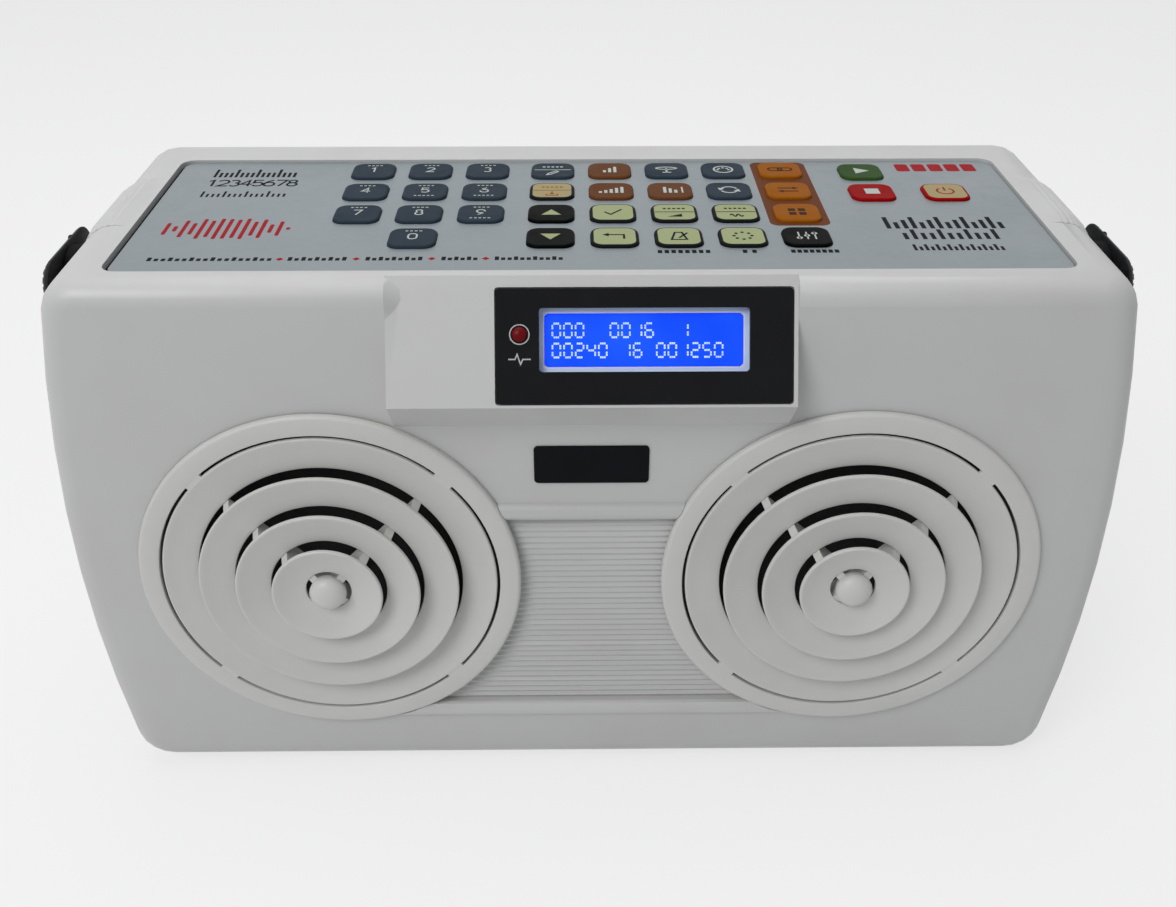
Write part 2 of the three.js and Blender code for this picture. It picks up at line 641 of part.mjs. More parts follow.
// A ribbed grip over one top side edge, following the outline at a lift that steps rib by rib
function gripRing(lift, sideSign) {
  const bowX = BODY_WIDTH / 2 - SIDE_BOW_RADIUS;
  const cornerZ = TOP - TOP_CORNER;
  const cornerX = bowX + Math.sqrt((SIDE_BOW_RADIUS - TOP_CORNER) ** 2 - (cornerZ - SIDE_BOW_HEIGHT) ** 2);
  const sideAngle = Math.asin((cornerZ - SIDE_BOW_HEIGHT) / (SIDE_BOW_RADIUS - TOP_CORNER));
  const height = (i) => lift - (i % 2 ? Math.min(GRIP_RIB_DEPTH, lift) : 0);
  const sideCount = 2 * GRIP_SIDE_RIBS;
  const cornerCount = 2 * GRIP_CORNER_RIBS;
  const ring = [];
  for (let i = 0; i <= sideCount; i++) {
    const z = TOP - GRIP_DROP + ((GRIP_DROP - TOP_CORNER) * i) / sideCount;
    const angle = Math.asin((z - SIDE_BOW_HEIGHT) / SIDE_BOW_RADIUS);
    const radius = SIDE_BOW_RADIUS + (i ? height(i) : 0);
    ring.push(point(bowX + radius * Math.cos(angle), SIDE_BOW_HEIGHT + radius * Math.sin(angle)));
  }
  for (let i = 1; i <= cornerCount; i++) {
    const angle = sideAngle + ((Math.PI / 2 - sideAngle) * i) / cornerCount;
    const radius = TOP_CORNER + height(i);
    ring.push(point(cornerX + radius * Math.cos(angle), cornerZ + radius * Math.sin(angle)));
  }
  ring.push(point(cornerX - GRIP_OVER_TOP, TOP));
  ring.push(point(cornerX - GRIP_OVER_TOP, TOP - WALL / 2));
  ring.push(point(cornerX, cornerZ));
  const foot = TOP - GRIP_DROP - SIDE_BOW_HEIGHT;
  ring.push(point(bowX + Math.sqrt((SIDE_BOW_RADIUS - WALL / 2) ** 2 - foot ** 2), TOP - GRIP_DROP));
  return ring.map((p) => point(sideSign * p.x, p.y));
}

function grip(side) {
  const levels = [
    [GRIP_FRONT, CLEARANCE],
    [GRIP_FRONT + GRIP_END, GRIP_RISE],
    [GRIP_FRONT + GRIP_LENGTH - GRIP_END, GRIP_RISE],
    [GRIP_FRONT + GRIP_LENGTH, CLEARANCE],
  ];
  return loft(levels.map(([y, lift]) => ({ outline: gripRing(lift, side), level: -y })), FRONT_VIEW);
}

// The openings through the pod's face: the window's seat, the display's opening and the lamp's hole
const windowOutline = (grow) =>
  roundedRectangle(WINDOW_WIDTH + 2 * grow, WINDOW_HEIGHT + 2 * grow, WINDOW_CORNER, 2)
    .map((p) => point(p.x + WINDOW_X, p.y));
const lcdOutline = (grow) =>
  roundedRectangle(LCD_WIDTH + 2 * grow, LCD_HEIGHT + 2 * grow, WINDOW_CORNER, 1)
    .map((p) => point(p.x + WINDOW_X, p.y + LCD_UP));
const ledView = POD_VIEW.clone().multiply(moved(LED_X, LED_UP, 0));

const windowCuts = () => [
  prism(windowOutline(CLEARANCE), WINDOW_PROUD - WINDOW_THICKNESS - CLEARANCE, OVERRUN, POD_VIEW),
  prism(lcdOutline(LCD_SEAT_MARGIN), -OVERRUN, OVERRUN, POD_VIEW),
  cylinder(LED_RADIUS + CLEARANCE, -OVERRUN, OVERRUN, ledView, SMALL),
];

function mainHousing() {
  const podBlock = prism(podProfile(), -podHalf, podHalf, SIDE_VIEW);
  const form = join(cut(bodyForm(), beforePod(0, podHalf)), podBlock, recessEnd(),
    ...[-1, 1].flatMap((side) => [grip(side), strapBoss(side, STRAP_BOSS_FACE)]));
  const rolls = cut(join(...beads()), ...speakerDiscs(FLANGE_RADIUS + CLEARANCE, -OVERRUN, FRONT + OVERRUN));
  const seatRadius = BASKET_FLANGE_RADIUS + CLEARANCE;
  const backing = cut(fieldBacking(), ...speakerDiscs(seatRadius, -OVERRUN, FRONT + 2 * OVERRUN));
  const shell = join(cut(form, housingCavity()), rolls, backing);
  const field = cut(ribbedField(), ...speakerDiscs(seatRadius, -OVERRUN, FRONT + 2 * OVERRUN));
  const studs = footPlaces.map(([x, y]) =>
    cylinder(FOOT_STUD_RADIUS + CLEARANCE, BOTTOM - OVERRUN, BOTTOM + FOOT_STUD_LENGTH + CLEARANCE,
      moved(x, y, 0), COARSE));
  const bores = [-1, 1].map((side) =>
    cylinder(ANCHOR_STUD_RADIUS + CLEARANCE, STRAP_BOSS_FACE - ANCHOR_BORE_DEPTH - CLEARANCE,
      STRAP_BOSS_FACE + OVERRUN, pivotView(side), COARSE));
  return cut(shell, field, ...keypadRecess(), ...windowCuts(), ...studs, ...bores,
    ...speakerDiscs(GRILLE_HOLE_RADIUS, -OVERRUN, FRONT + WALL + CLEARANCE));
}

// One louvre ring: a dished band with a rounded lip, closed on itself
function louvre({ lip, rise, fall }, inner) {
  const middle = (lip + inner) / 2;
  const dish = rise - fall / 2 - RING_SAG;
  return revolve([
    [lip, rise - LIP_DEPTH],
    [lip, rise],
    [middle, dish],
    [inner, rise - fall],
    [inner, rise - fall - RING_THICKNESS],
    [lip, rise - LIP_DEPTH],
  ], FRONT_VIEW, FINE);
}

const ringInner = (i) => (i + 1 < RINGS.length ? RINGS[i + 1].lip + RING_GAP : BOSS_HOLE_RADIUS);

// A bar across the grille that carries the rings, its front edge stepping up to each lip
function spoke(angle) {
  const rim = GRILLE_HOLE_RADIUS - CLEARANCE - WALL / 2;
  const half = [point(rim, -SPOKE_BACK / 2)];
  RINGS.forEach(({ lip, rise, fall }, i) => {
    half.push(point(lip - SPOKE_SUNK, rise - 2 * SPOKE_SUNK));
    half.push(point(ringInner(i), rise - fall - SPOKE_SUNK));
  });
  half.push(point(BOSS_RADIUS / 2, BOSS_RISE - SPOKE_SUNK));
  const outline = [
    point(-rim, -SPOKE_BACK),
    point(rim, -SPOKE_BACK),
    ...half,
    ...half.map((p) => point(-p.x, p.y)).reverse(),
  ];
  const turned = FRONT_VIEW.clone()
    .multiply(new THREE.Matrix4().makeRotationZ(radians(angle)))
    .multiply(new THREE.Matrix4().makeRotationX(Math.PI / 2));
  return prism(outline, -SPOKE_WIDTH / 2, SPOKE_WIDTH / 2, turned);
}

// A short bridge across the slit at one end of a spoke
function slitBridge(angle) {
  const turned = FRONT_VIEW.clone().multiply(new THREE.Matrix4().makeRotationZ(radians(angle)));
  const outline = [
    point(SLIT_RADIUS - SLIT_WIDTH, -BRIDGE_WIDTH / 2),
    point(SLIT_RADIUS + SLIT_WIDTH, -BRIDGE_WIDTH / 2),
    point(SLIT_RADIUS + SLIT_WIDTH, BRIDGE_WIDTH / 2),
    point(SLIT_RADIUS - SLIT_WIDTH, BRIDGE_WIDTH / 2),
  ];
  return prism(outline, -LIP_DEPTH, -BRIDGE_SUNK, turned);
}

function speakerGrille() {
  const skirt = GRILLE_HOLE_RADIUS - CLEARANCE;
  const slit = SLIT_RADIUS + SLIT_WIDTH / 2;
  const seat = -(FLANGE_PROUD - CLEARANCE);
  const flange = revolve([
    [slit, 0],
    [slit, seat - GRILLE_SKIRT_DEPTH],
    [skirt, seat - GRILLE_SKIRT_DEPTH],
    [skirt, seat],
    [FLANGE_RADIUS, seat],
    [FLANGE_RADIUS, -FLANGE_ROUND],
    [FLANGE_RADIUS - FLANGE_ROUND, 0],
    [slit, 0],
  ], FRONT_VIEW, FINE);
  const boss = revolve([
    [0, BOSS_RISE - BOSS_DEPTH],
    [BOSS_RADIUS - BOSS_BEVEL, BOSS_RISE - BOSS_DEPTH],
    ...steps(3).map((share) => [
      BOSS_RADIUS * Math.cos((share * Math.PI) / 2),
      BOSS_RISE + BOSS_DOME * Math.sin((share * Math.PI) / 2),
    ]),
  ], FRONT_VIEW, SMALL);
  const louvres = RINGS.map((ring, i) => louvre(ring, ringInner(i)));
  const bridges = SPOKE_ANGLES.flatMap((angle) => [slitBridge(angle), slitBridge(angle + 180)]);
  return join(flange, boss, ...louvres, ...SPOKE_ANGLES.map(spoke), ...bridges);
}

// The basket's flange, its tapering frame and the magnet behind, open to the front
const basketFace = -(FRONT + WALL + CLEARANCE);
const basketBack = basketFace - BASKET_FLANGE - BASKET_DEPTH;

function speakerBasket() {
  return revolve([
    [0, basketBack],
    [BASKET_WAIST_RADIUS - BASKET_WALL, basketBack],
    [BASKET_INNER_RADIUS, basketFace - BASKET_FLANGE],
    [BASKET_INNER_RADIUS, basketFace],
    [BASKET_FLANGE_RADIUS, basketFace],
    [BASKET_FLANGE_RADIUS, basketFace - BASKET_FLANGE],
    [BASKET_INNER_RADIUS + BASKET_WALL, basketFace - BASKET_FLANGE],
    [BASKET_WAIST_RADIUS, basketBack],
    [MAGNET_RADIUS, basketBack],
    [MAGNET_RADIUS, basketBack - MAGNET_DEPTH],
    [0, basketBack - MAGNET_DEPTH],
  ], FRONT_VIEW, SMALL);
}

// The cone with its rolled surround and dust cap, one thin dished skin
function speakerCone() {
  const edge = BASKET_INNER_RADIUS - CLEARANCE;
  const start = basketFace - BASKET_FLANGE / 2;
  const skin = [
    [edge, start],
    [edge - SURROUND_WIDTH / 2, start + SURROUND_PROUD],
    [edge - SURROUND_WIDTH, start],
    [CONE_NECK_RADIUS, start - CONE_DEPTH],
    [0, start - CONE_DEPTH + DUST_CAP_RISE],
  ];
  const back = skin.map(([r, level]) => [r, level - CONE_WALL]).reverse();
  return revolve([...back, ...skin], FRONT_VIEW, SMALL);
}

// The black window plate, with openings for the display and the lamp
function displayWindow() {
  const back = WINDOW_PROUD - WINDOW_THICKNESS;
  const plate = prism(windowOutline(0), back, WINDOW_PROUD, POD_VIEW, lcdOutline(0));
  return cut(plate, cylinder(LED_RADIUS + CLEARANCE, -OVERRUN, OVERRUN, ledView, SMALL));
}

const lcdFace = -(WALL + CLEARANCE);
const glassOutline = (grow) => lcdOutline(grow - LCD_FRAME_MARGIN);

// The display's frame behind the pod wall, with a pocket for the glass
function lcdFrame() {
  const width = LCD_WIDTH + 2 * LCD_SIDE_MARGIN;
  const height = LCD_HEIGHT + 2 * LCD_FRAME_MARGIN;
  const outer = roundedRectangle(width, height, WINDOW_CORNER, 1)
    .map((p) => point(p.x + WINDOW_X, p.y + LCD_UP));
  const frame = prism(outer, lcdFace - LCD_FRAME_DEPTH, lcdFace, POD_VIEW);
  return cut(frame, prism(glassOutline(0), lcdFace - LCD_GLASS_SUNK - LCD_GLASS_DEPTH, OVERRUN, POD_VIEW));
}

const lcdGlass = () =>
  prism(glassOutline(-CLEARANCE), lcdFace - LCD_GLASS_SUNK - LCD_GLASS_DEPTH + CLEARANCE,
    lcdFace - LCD_GLASS_SUNK, POD_VIEW);

// A round lamp with a collar that stops it behind the wall
function beatLed() {
  const collarFace = lcdFace;
  const dome = steps(LED_DOME_STEPS).map((share) => [
    LED_RADIUS * Math.cos((share * Math.PI) / 2),
    WINDOW_PROUD + LED_PROUD * Math.sin((share * Math.PI) / 2),
  ]);
  return revolve([
    [0, collarFace - LED_COLLAR],
    [LED_COLLAR_RADIUS, collarFace - LED_COLLAR],
    [LED_COLLAR_RADIUS, collarFace],
    [LED_RADIUS, collarFace],
    ...dome,
  ], ledView, SMALL);
}

// Every key of the grid with its name and the centre of its cap
const keyPlaces = KEY_ROWS.flatMap((row, i) =>
  row.flatMap((name, j) => {
    if (!name) return [];
    const shift = KEY_COLUMNS[j] >= START_X ? CONTROL_SHIFT : 0;
    return [{ name, x: KEY_COLUMNS[j], y: KEY_BACK_ROW - i * KEY_PITCH_Y - shift }];
  }));
const keyOutline = (grow) =>
  roundedRectangle(KEY_SIZE + 2 * grow, KEY_SIZE + 2 * grow, KEY_CORNER + grow, KEY_CORNER_STEPS);

function keyCap({ x, y }) {
  const levels = [
    { outline: keyOutline(0), level: keyBottom },
    { outline: keyOutline(0), level: panelTop + KEY_RISE - KEY_CROWN },
    { outline: keyOutline(-KEY_CROWN), level: panelTop + KEY_RISE },
  ];
  return loft(levels, moved(x, y, 0));
}

function keypadPanel() {
  const shape = new THREE.Shape(panelOutline(-CLEARANCE));
  for (const { x, y } of keyPlaces) {
    shape.holes.push(new THREE.Path(keyOutline(CLEARANCE).map((p) => point(p.x + x, p.y + y - PANEL_Y))));
  }
  const geometry = new THREE.ExtrudeGeometry(shape, { depth: PANEL_THICKNESS, bevelEnabled: false });
  return solid(geometry, moved(0, PANEL_Y, panelBottom));
}

const keypadBoard = () =>
  prism(pocketOutline(-CLEARANCE), keypadBoardBottom, keypadBoardTop, pocketMatrix);

// The rear cover with its socket holes and a row of vents
function rearCover() {
  const plate = prism(housingOutline(EDGE_ROUND + COVER_RIM + CLEARANCE), -BACK,
    -(BACK - COVER_THICKNESS + CLEARANCE), FRONT_VIEW);
  const from = BACK - COVER_THICKNESS - OVERRUN;
  const to = BACK + OVERRUN;
  const round = (radius, x) => cylinder(radius + CLEARANCE, from, to, seen(BACK_VIEW, x, 0, SOCKET_Z));
  const vents = Array.from({ length: VENT_COUNT }, (_, i) => {
    const x = VENT_X + (i - (VENT_COUNT - 1) / 2) * VENT_PITCH;
    return box(VENT_WIDTH, 2 * OVERRUN, VENT_HEIGHT, x, BACK, VENT_Z);
  });
  const inlet = prism(inletOutline(CLEARANCE), from, to, seen(BACK_VIEW, INLET_X, 0, SOCKET_Z));
  const dins = Object.values(DIN_XS).map((x) => round(DIN.barrel, x));
  return cut(plate, inlet, ...dins, round(JACK.barrel, JACK_X), ...vents);
}

const inletOutline = (grow) =>
  roundedRectangle(INLET.width + 2 * grow, INLET.height + 2 * grow, WINDOW_CORNER, 1);

// A two-pin mains inlet: flange, body, round-ended recess and two pins
function mainsInlet() {
  const view = seen(BACK_VIEW, INLET_X, BACK, SOCKET_Z);
  const face = CLEARANCE + INLET.plate;
  const flange = prism(inletOutline(INLET.flange), CLEARANCE, face, view);
  const body = prism(inletOutline(0), -INLET.depth, face, view);
  const recess = prism(roundedRectangle(INLET_RECESS.width, INLET_RECESS.height, INLET_RECESS.height / 2, 4),
    face - INLET_RECESS.depth, face + OVERRUN, view);
  const pins = [-1, 1].map((side) =>
    cylinder(PIN_RADIUS, face - INLET_RECESS.depth - WALL / 2, face - PIN_SHORT,
      view.clone().multiply(moved((side * PIN_SPACING) / 2, 0, 0)), COARSE));
  return join(cut(join(flange, body), recess), ...pins);
}

// A round five-pole socket: flange, barrel, and the groove that takes the plug's shell
function dinSocket(x) {
  const face = CLEARANCE + DIN.plate;
  return revolve([
    [0, -DIN.depth],
    [DIN.barrel, -DIN.depth],
    [DIN.barrel, CLEARANCE],
    [DIN.flange, CLEARANCE],
    [DIN.flange, face],
    [DIN.shell, face],
    [DIN.shell, face - DIN.groove],
    [DIN.core, face - DIN.groove],
    [DIN.core, face - DIN.plate],
    [0, face - DIN.plate],
  ], seen(BACK_VIEW, x, BACK, SOCKET_Z), SMALL);
}

function lineOutJack() {
  const face = CLEARANCE + JACK.plate;
  return revolve([
    [0, -JACK.depth],
    [JACK.barrel, -JACK.depth],
    [JACK.barrel, CLEARANCE],
    [JACK.flange, CLEARANCE],
    [JACK.flange, face],
    [JACK.bore, face],
    [JACK.bore, face - JACK.boreDepth],
    [0, face - JACK.boreDepth],
  ], seen(BACK_VIEW, JACK_X, BACK, SOCKET_Z), SMALL);
}

// Boards on their standoffs, each with its main components
const boardBottom = boardTop + CLEARANCE;
const boardPlate = ({ x, y, width, depth }) =>
  box(width, depth, BOARD_THICKNESS, x, y, boardBottom + BOARD_THICKNESS / 2);
const onBoard = (board, part) =>
  box(part.width, part.depth, part.height + BOARD_THICKNESS, board.x + part.x, board.y,
    boardBottom + (part.height + BOARD_THICKNESS) / 2);

const mainBoard = () =>
  join(boardPlate(MAIN_BOARD), onBoard(MAIN_BOARD, CHIP), onBoard(MAIN_BOARD, HEAT_SINK));

function powerSupplyBoard() {
  const capacitor = cylinder(CAPACITOR.radius, boardBottom, boardBottom + BOARD_THICKNESS + CAPACITOR.height,
    moved(POWER_BOARD.x + CAPACITOR.x, POWER_BOARD.y, 0), COARSE);
  return join(boardPlate(POWER_BOARD), onBoard(POWER_BOARD, TRANSFORMER), capacitor);
}

const rubberFoot = ([x, y]) =>
  revolve([
    [0, 0],
    [FOOT_RADIUS, 0],
    [FOOT_TOP_RADIUS, BOTTOM - CLEARANCE],
    [FOOT_STUD_RADIUS, BOTTOM - CLEARANCE],
    [FOOT_STUD_RADIUS, BOTTOM + FOOT_STUD_LENGTH],
    [0, BOTTOM + FOOT_STUD_LENGTH],
  ], moved(x, y, 0), COARSE);

// The strap's inner face: close to the bosses at the pivot, then out round the bowed sides
const strapNear = STRAP_BOSS_FACE + CLEARANCE;
const strapFar = BODY_WIDTH / 2 + STRAP_SIDE_GAP;

// The band's half outline in plan, at a distance outside its inner face
function bandPath(out) {
  const round = STRAP_BEND + out;
  const bend = steps(STRAP_BEND_STEPS).map((share) => {
    const angle = (share * Math.PI) / 2;
    return point(
      strapFar - STRAP_BEND + round * Math.cos(angle),
      STRAP_LENGTH - STRAP_BEND + round * Math.sin(angle),
    );
  });
  return [
    point(strapNear + out, 0),
    point(strapNear + out, STRAP_FLARE_START),
    point(strapFar + out, STRAP_FLARE_END),
    ...bend,
  ];
}

const mirrored = (path) => [...path, ...path.map((p) => point(-p.x, p.y)).reverse()];

// One padded end of the strap, level at rest, round its anchor
function strapHead(side) {
  const levels = STRAP_HEAD_LEVELS.map(({ share, inset }) => ({
    outline: roundedRectangle(STRAP_HEAD_HEIGHT - 2 * inset, STRAP_HEAD_LENGTH - 2 * inset,
      STRAP_HEAD_CORNER - inset),
    level: strapNear + STRAP_HEAD_PROUD * share,
  }));
  return loft(levels, pivotView(side));
}

function carryingStrap() {
  const slope = moved(0, STRAP_PIVOT_Y, STRAP_PIVOT_Z).multiply(
    new THREE.Matrix4().makeRotationX(-radians(STRAP_SLOPE)));
  const band = cut(
    prism(mirrored(bandPath(STRAP_THICKNESS)), -STRAP_WIDTH / 2, STRAP_WIDTH / 2, slope),
    prism(mirrored([point(strapNear, -OVERRUN), ...bandPath(0)]), -STRAP_WIDTH, STRAP_WIDTH, slope));
  const bore = ANCHOR_STUD_RADIUS + CLEARANCE;
  const bores = [-1, 1].map((side) =>
    cylinder(bore, strapNear - OVERRUN, strapFar + 2 * OVERRUN, pivotView(side), COARSE));
  return cut(join(band, strapHead(-1), strapHead(1)), ...bores);
}

// A stud that passes through the strap into the housing's boss, with a low round cap
function strapAnchor(side) {
  const capFace = strapNear + STRAP_HEAD_PROUD + CLEARANCE;
  return revolve([
    [0, STRAP_BOSS_FACE - ANCHOR_BORE_DEPTH],
    [ANCHOR_STUD_RADIUS, STRAP_BOSS_FACE - ANCHOR_BORE_DEPTH],
    [ANCHOR_STUD_RADIUS, capFace],
    [ANCHOR_CAP_RADIUS, capFace],
    [ANCHOR_CAP_RADIUS, capFace + ANCHOR_CAP_HEIGHT - ANCHOR_CAP_ROUND],
    [ANCHOR_CAP_RADIUS - ANCHOR_CAP_ROUND, capFace + ANCHOR_CAP_HEIGHT],
    [0, capFace + ANCHOR_CAP_HEIGHT],
  ], pivotView(side), COARSE);
}

// Colours and finishes
const finish = (color, roughness, metalness = 0) =>
  new THREE.MeshStandardMaterial({ color, roughness, metalness });
const OFF_WHITE = () => finish(0xd9dad6, 0.5);
const BLACK_PLASTIC = () => finish(0x18191b, 0.4);
const RUBBER = () => finish(0x1c1c1c, 0.9);
const SLATE = () => finish(0x3a4356, 0.4);
const BROWN = () => finish(0x5a463c, 0.4);
const ORANGE = () => finish(0xd0701f, 0.35);
const PALE_GREEN = () => finish(0xbfc99a, 0.4);
const CREAM = () => finish(0xd8d2b8, 0.4);
const GREEN = () => finish(0x2f7a3a, 0.35);
const RED = () => finish(0xb32025, 0.35);
const CIRCUIT_BOARD = () => finish(0x2c5a36, 0.6);
const KEY_FINISHES = {
  short_fill_key: BROWN, long_fill_key: BROWN, ending_key: BROWN,
  chain_key: ORANGE, chain_change_key: ORANGE, group_key: ORANGE,
  ok_key: PALE_GREEN, back_key: PALE_GREEN, volume_key: PALE_GREEN,
  tempo_key: PALE_GREEN, pitch_key: PALE_GREEN, cycle_key: PALE_GREEN,
  store_key: CREAM, power_key: CREAM, start_key: GREEN, stop_key: RED,
  up_key: BLACK_PLASTIC, down_key: BLACK_PLASTIC, mode_key: BLACK_PLASTIC,
};

function mesh(name, made, material) {
  const { vertProperties, triVerts } = made.getMesh();
  const indexed = new THREE.BufferGeometry();
  indexed.setAttribute("position", new THREE.BufferAttribute(vertProperties, 3));
  indexed.setIndex(new THREE.BufferAttribute(triVerts, 1));
  const geometry = indexed.toNonIndexed();
  geometry.computeVertexNormals();
  const node = new THREE.Mesh(geometry, material);
  node.name = name;
  return node;
}

// The assembly
const tabla = new THREE.Group();
const pieces = new THREE.Group();
pieces.add(
  mesh("main_housing", mainHousing(), OFF_WHITE()),
  mesh("rear_cover", rearCover(), OFF_WHITE()),
  mesh("display_window", displayWindow(), finish(0x0c0d0f, 0.15)),
  mesh("lcd_frame", lcdFrame(), finish(0xb9bcbd, 0.45)),
  mesh("lcd_glass", lcdGlass(), finish(0x2f7fe0, 0.2)),
  mesh("beat_led", beatLed(), finish(0x8c1218, 0.2)),
  mesh("keypad_panel", keypadPanel(), finish(0x8f989d, 0.45)),
  mesh("keypad_board", keypadBoard(), CIRCUIT_BOARD()),
  mesh("main_board", mainBoard(), CIRCUIT_BOARD()),
  mesh("power_supply_board", powerSupplyBoard(), CIRCUIT_BOARD()),
  mesh("mains_inlet", mainsInlet(), BLACK_PLASTIC()),
  mesh("line_out_jack", lineOutJack(), BLACK_PLASTIC()),
  mesh("carrying_strap", carryingStrap(), RUBBER()),
);

for (const [name, x] of Object.entries(DIN_XS)) pieces.add(mesh(name, dinSocket(x), BLACK_PLASTIC()));

for (const [name, side] of [["left", -1], ["right", 1]]) {
  const speaker = new THREE.Group();
  speaker.position.set(side * SPEAKER_X, 0, SPEAKER_Z);
  speaker.add(
    mesh(name + "_speaker_grille", speakerGrille(), OFF_WHITE()),
    mesh(name + "_speaker_basket", speakerBasket(), finish(0x3a3c3e, 0.5, 0.6)),
    mesh(name + "_speaker_cone", speakerCone(), finish(0x151515, 0.85)),
  );
  pieces.add(speaker, mesh(name + "_strap_anchor", strapAnchor(side), finish(0x1b1c1e, 0.25)));
}

footPlaces.forEach((place) => {
  const end = place[1] < (FRONT + BACK) / 2 ? "front" : "back";
  const side = place[0] < 0 ? "left" : "right";
  pieces.add(mesh(end + "_" + side + "_foot", rubberFoot(place), RUBBER()));
});

for (const key of keyPlaces) {
  pieces.add(mesh(key.name, keyCap(key), (KEY_FINISHES[key.name] ?? SLATE)()));
}

// The finished part stands with the middle of its footprint on the origin
const extent = new THREE.Box3().setFromObject(pieces);
pieces.position.y = -(extent.min.y + extent.max.y) / 2;
tabla.add(pieces);

export default tabla;
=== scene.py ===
import math

import bmesh
import bpy
from mathutils import Matrix, Vector
from mathutils.geometry import tessellate_polygon


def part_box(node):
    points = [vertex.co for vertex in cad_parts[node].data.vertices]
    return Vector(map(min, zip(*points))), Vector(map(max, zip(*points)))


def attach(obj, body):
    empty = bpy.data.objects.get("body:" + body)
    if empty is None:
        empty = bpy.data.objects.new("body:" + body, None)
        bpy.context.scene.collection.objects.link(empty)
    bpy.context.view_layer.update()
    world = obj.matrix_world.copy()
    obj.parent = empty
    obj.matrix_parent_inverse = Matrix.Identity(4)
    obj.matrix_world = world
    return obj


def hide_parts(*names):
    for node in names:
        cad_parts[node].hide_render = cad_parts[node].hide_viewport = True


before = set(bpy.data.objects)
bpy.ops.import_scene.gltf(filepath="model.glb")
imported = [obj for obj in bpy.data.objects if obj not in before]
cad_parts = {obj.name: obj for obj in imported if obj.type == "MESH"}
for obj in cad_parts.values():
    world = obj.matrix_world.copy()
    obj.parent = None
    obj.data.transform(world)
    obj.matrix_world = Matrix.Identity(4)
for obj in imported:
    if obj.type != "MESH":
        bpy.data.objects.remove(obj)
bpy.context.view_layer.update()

# Lengths are in millimetres here, and a piece's mesh is brought to metres when it is made.
MM = 0.001
ROUND = 0.3
FINE = 128
MEDIUM = 48


def box_mm(node):
    """A CAD node's lowest and highest corners in millimetres."""
    low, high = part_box(node)
    return low / MM, high / MM


def node_middle(node):
    low, high = box_mm(node)
    return (low + high) / 2


def top_middle(node):
    """The middle of a CAD node's upper face."""
    middle = node_middle(node)
    return Vector((middle.x, middle.y, box_mm(node)[1].z))


def at(x, y, z):
    return Matrix.Translation((x, y, z))


def rotation(degrees, axis):
    return Matrix.Rotation(math.radians(degrees), 4, axis)


# Faces and turns that several pieces share
GRILLE_REACH = 10.2
FRONT_BEHIND_FLANGE = 2.5
COVER_FACE = box_mm("rear_cover")[1].y
FLANGE_FACE = box_mm("right_speaker_grille")[0].y + GRILLE_REACH
FRONT_FACE = FLANGE_FACE + FRONT_BEHIND_FLANGE
FRONT_TURN = rotation(90, "X")
BACK_TURN = FRONT_TURN @ rotation(180, "Y")


# Colours and shader groups
def linear(code):
    """A colour written as six hexadecimal digits, in linear light."""
    parts = [int(code[i:i + 2], 16) / 255 for i in (0, 2, 4)]
    return [c / 12.92 if c <= 0.04045 else ((c + 0.055) / 1.055) ** 2.4 for c in parts] + [1.0]


def wire(tree, source, target):
    """Wires a socket to another, or sets a plain value on it."""
    if isinstance(source, bpy.types.NodeSocket):
        tree.links.new(source, target)
    else:
        target.default_value = source


def give(tree, node, **values):
    """Gives a node's named inputs their values or wires."""
    for label, value in values.items():
        wire(tree, value, node.inputs[label.replace("_", " ")])


def new_node(tree, kind, **values):
    node = tree.nodes.new(kind)
    give(tree, node, **values)
    return node


def socket_kind(label):
    return "NodeSocketColor" if label.endswith("Color") else "NodeSocketFloat"


def new_group(name, inputs, outputs):
    """An empty shader group, the values that it takes and the node that they leave by."""
    tree = bpy.data.node_groups.new(name, "ShaderNodeTree")
    for label, value in inputs.items():
        socket = tree.interface.new_socket(label, in_out="INPUT", socket_type=socket_kind(label))
        socket.default_value = value
    for label in outputs:
        tree.interface.new_socket(label, in_out="OUTPUT", socket_type=socket_kind(label))
    return tree, tree.nodes.new("NodeGroupInput").outputs, tree.nodes.new("NodeGroupOutput")


def object_place(tree):
    return tree.nodes.new("ShaderNodeTexCoord").outputs["Object"]


def noise(tree, vector, scale, detail=2.0, rough=0.5):
    node = new_node(tree, "ShaderNodeTexNoise", Vector=vector, Scale=scale, Detail=detail, Roughness=rough)
    return node.outputs["Fac"]


def spread(tree, source, low, high, to_low=0.0, to_high=1.0):
    """A value mapped from one range to another, clamped."""
    node = new_node(tree, "ShaderNodeMapRange", Value=source, From_Min=low, From_Max=high,
                    To_Min=to_low, To_Max=to_high)
    return node.outputs["Result"]


def calc(tree, operation, first, second=0.0):
    node = tree.nodes.new("ShaderNodeMath")
    node.operation = operation
    for socket, value in zip(node.inputs, (first, second)):
        wire(tree, value, socket)
    return node.outputs[0]


def mixed(tree, factor, first, second):
    """Two colours mixed by a factor. Each is a socket or a colour."""
    node = tree.nodes.new("ShaderNodeMix")
    node.data_type = "RGBA"
    for socket, value in ((0, factor), (6, first), (7, second)):
        wire(tree, value, node.inputs[socket])
    return node.outputs[2]


# Scales of the shader patterns, in cells per metre
GRAIN_SCALE = 2200.0
CLOUD_SCALE = 26.0
SPECK_SCALE = 420.0
SMEAR_SCALE = 70.0
HAIR_STRETCH = (60.0, 900.0, 300.0)
HAIR_TURN = (0.2, 0.4, 0.7)
CELL_SCALE = 900.0
FLAKE_SCALE = 5200.0
FILM_CLOUD_SCALE = 18.0
FUZZ_SCALE = 2600.0


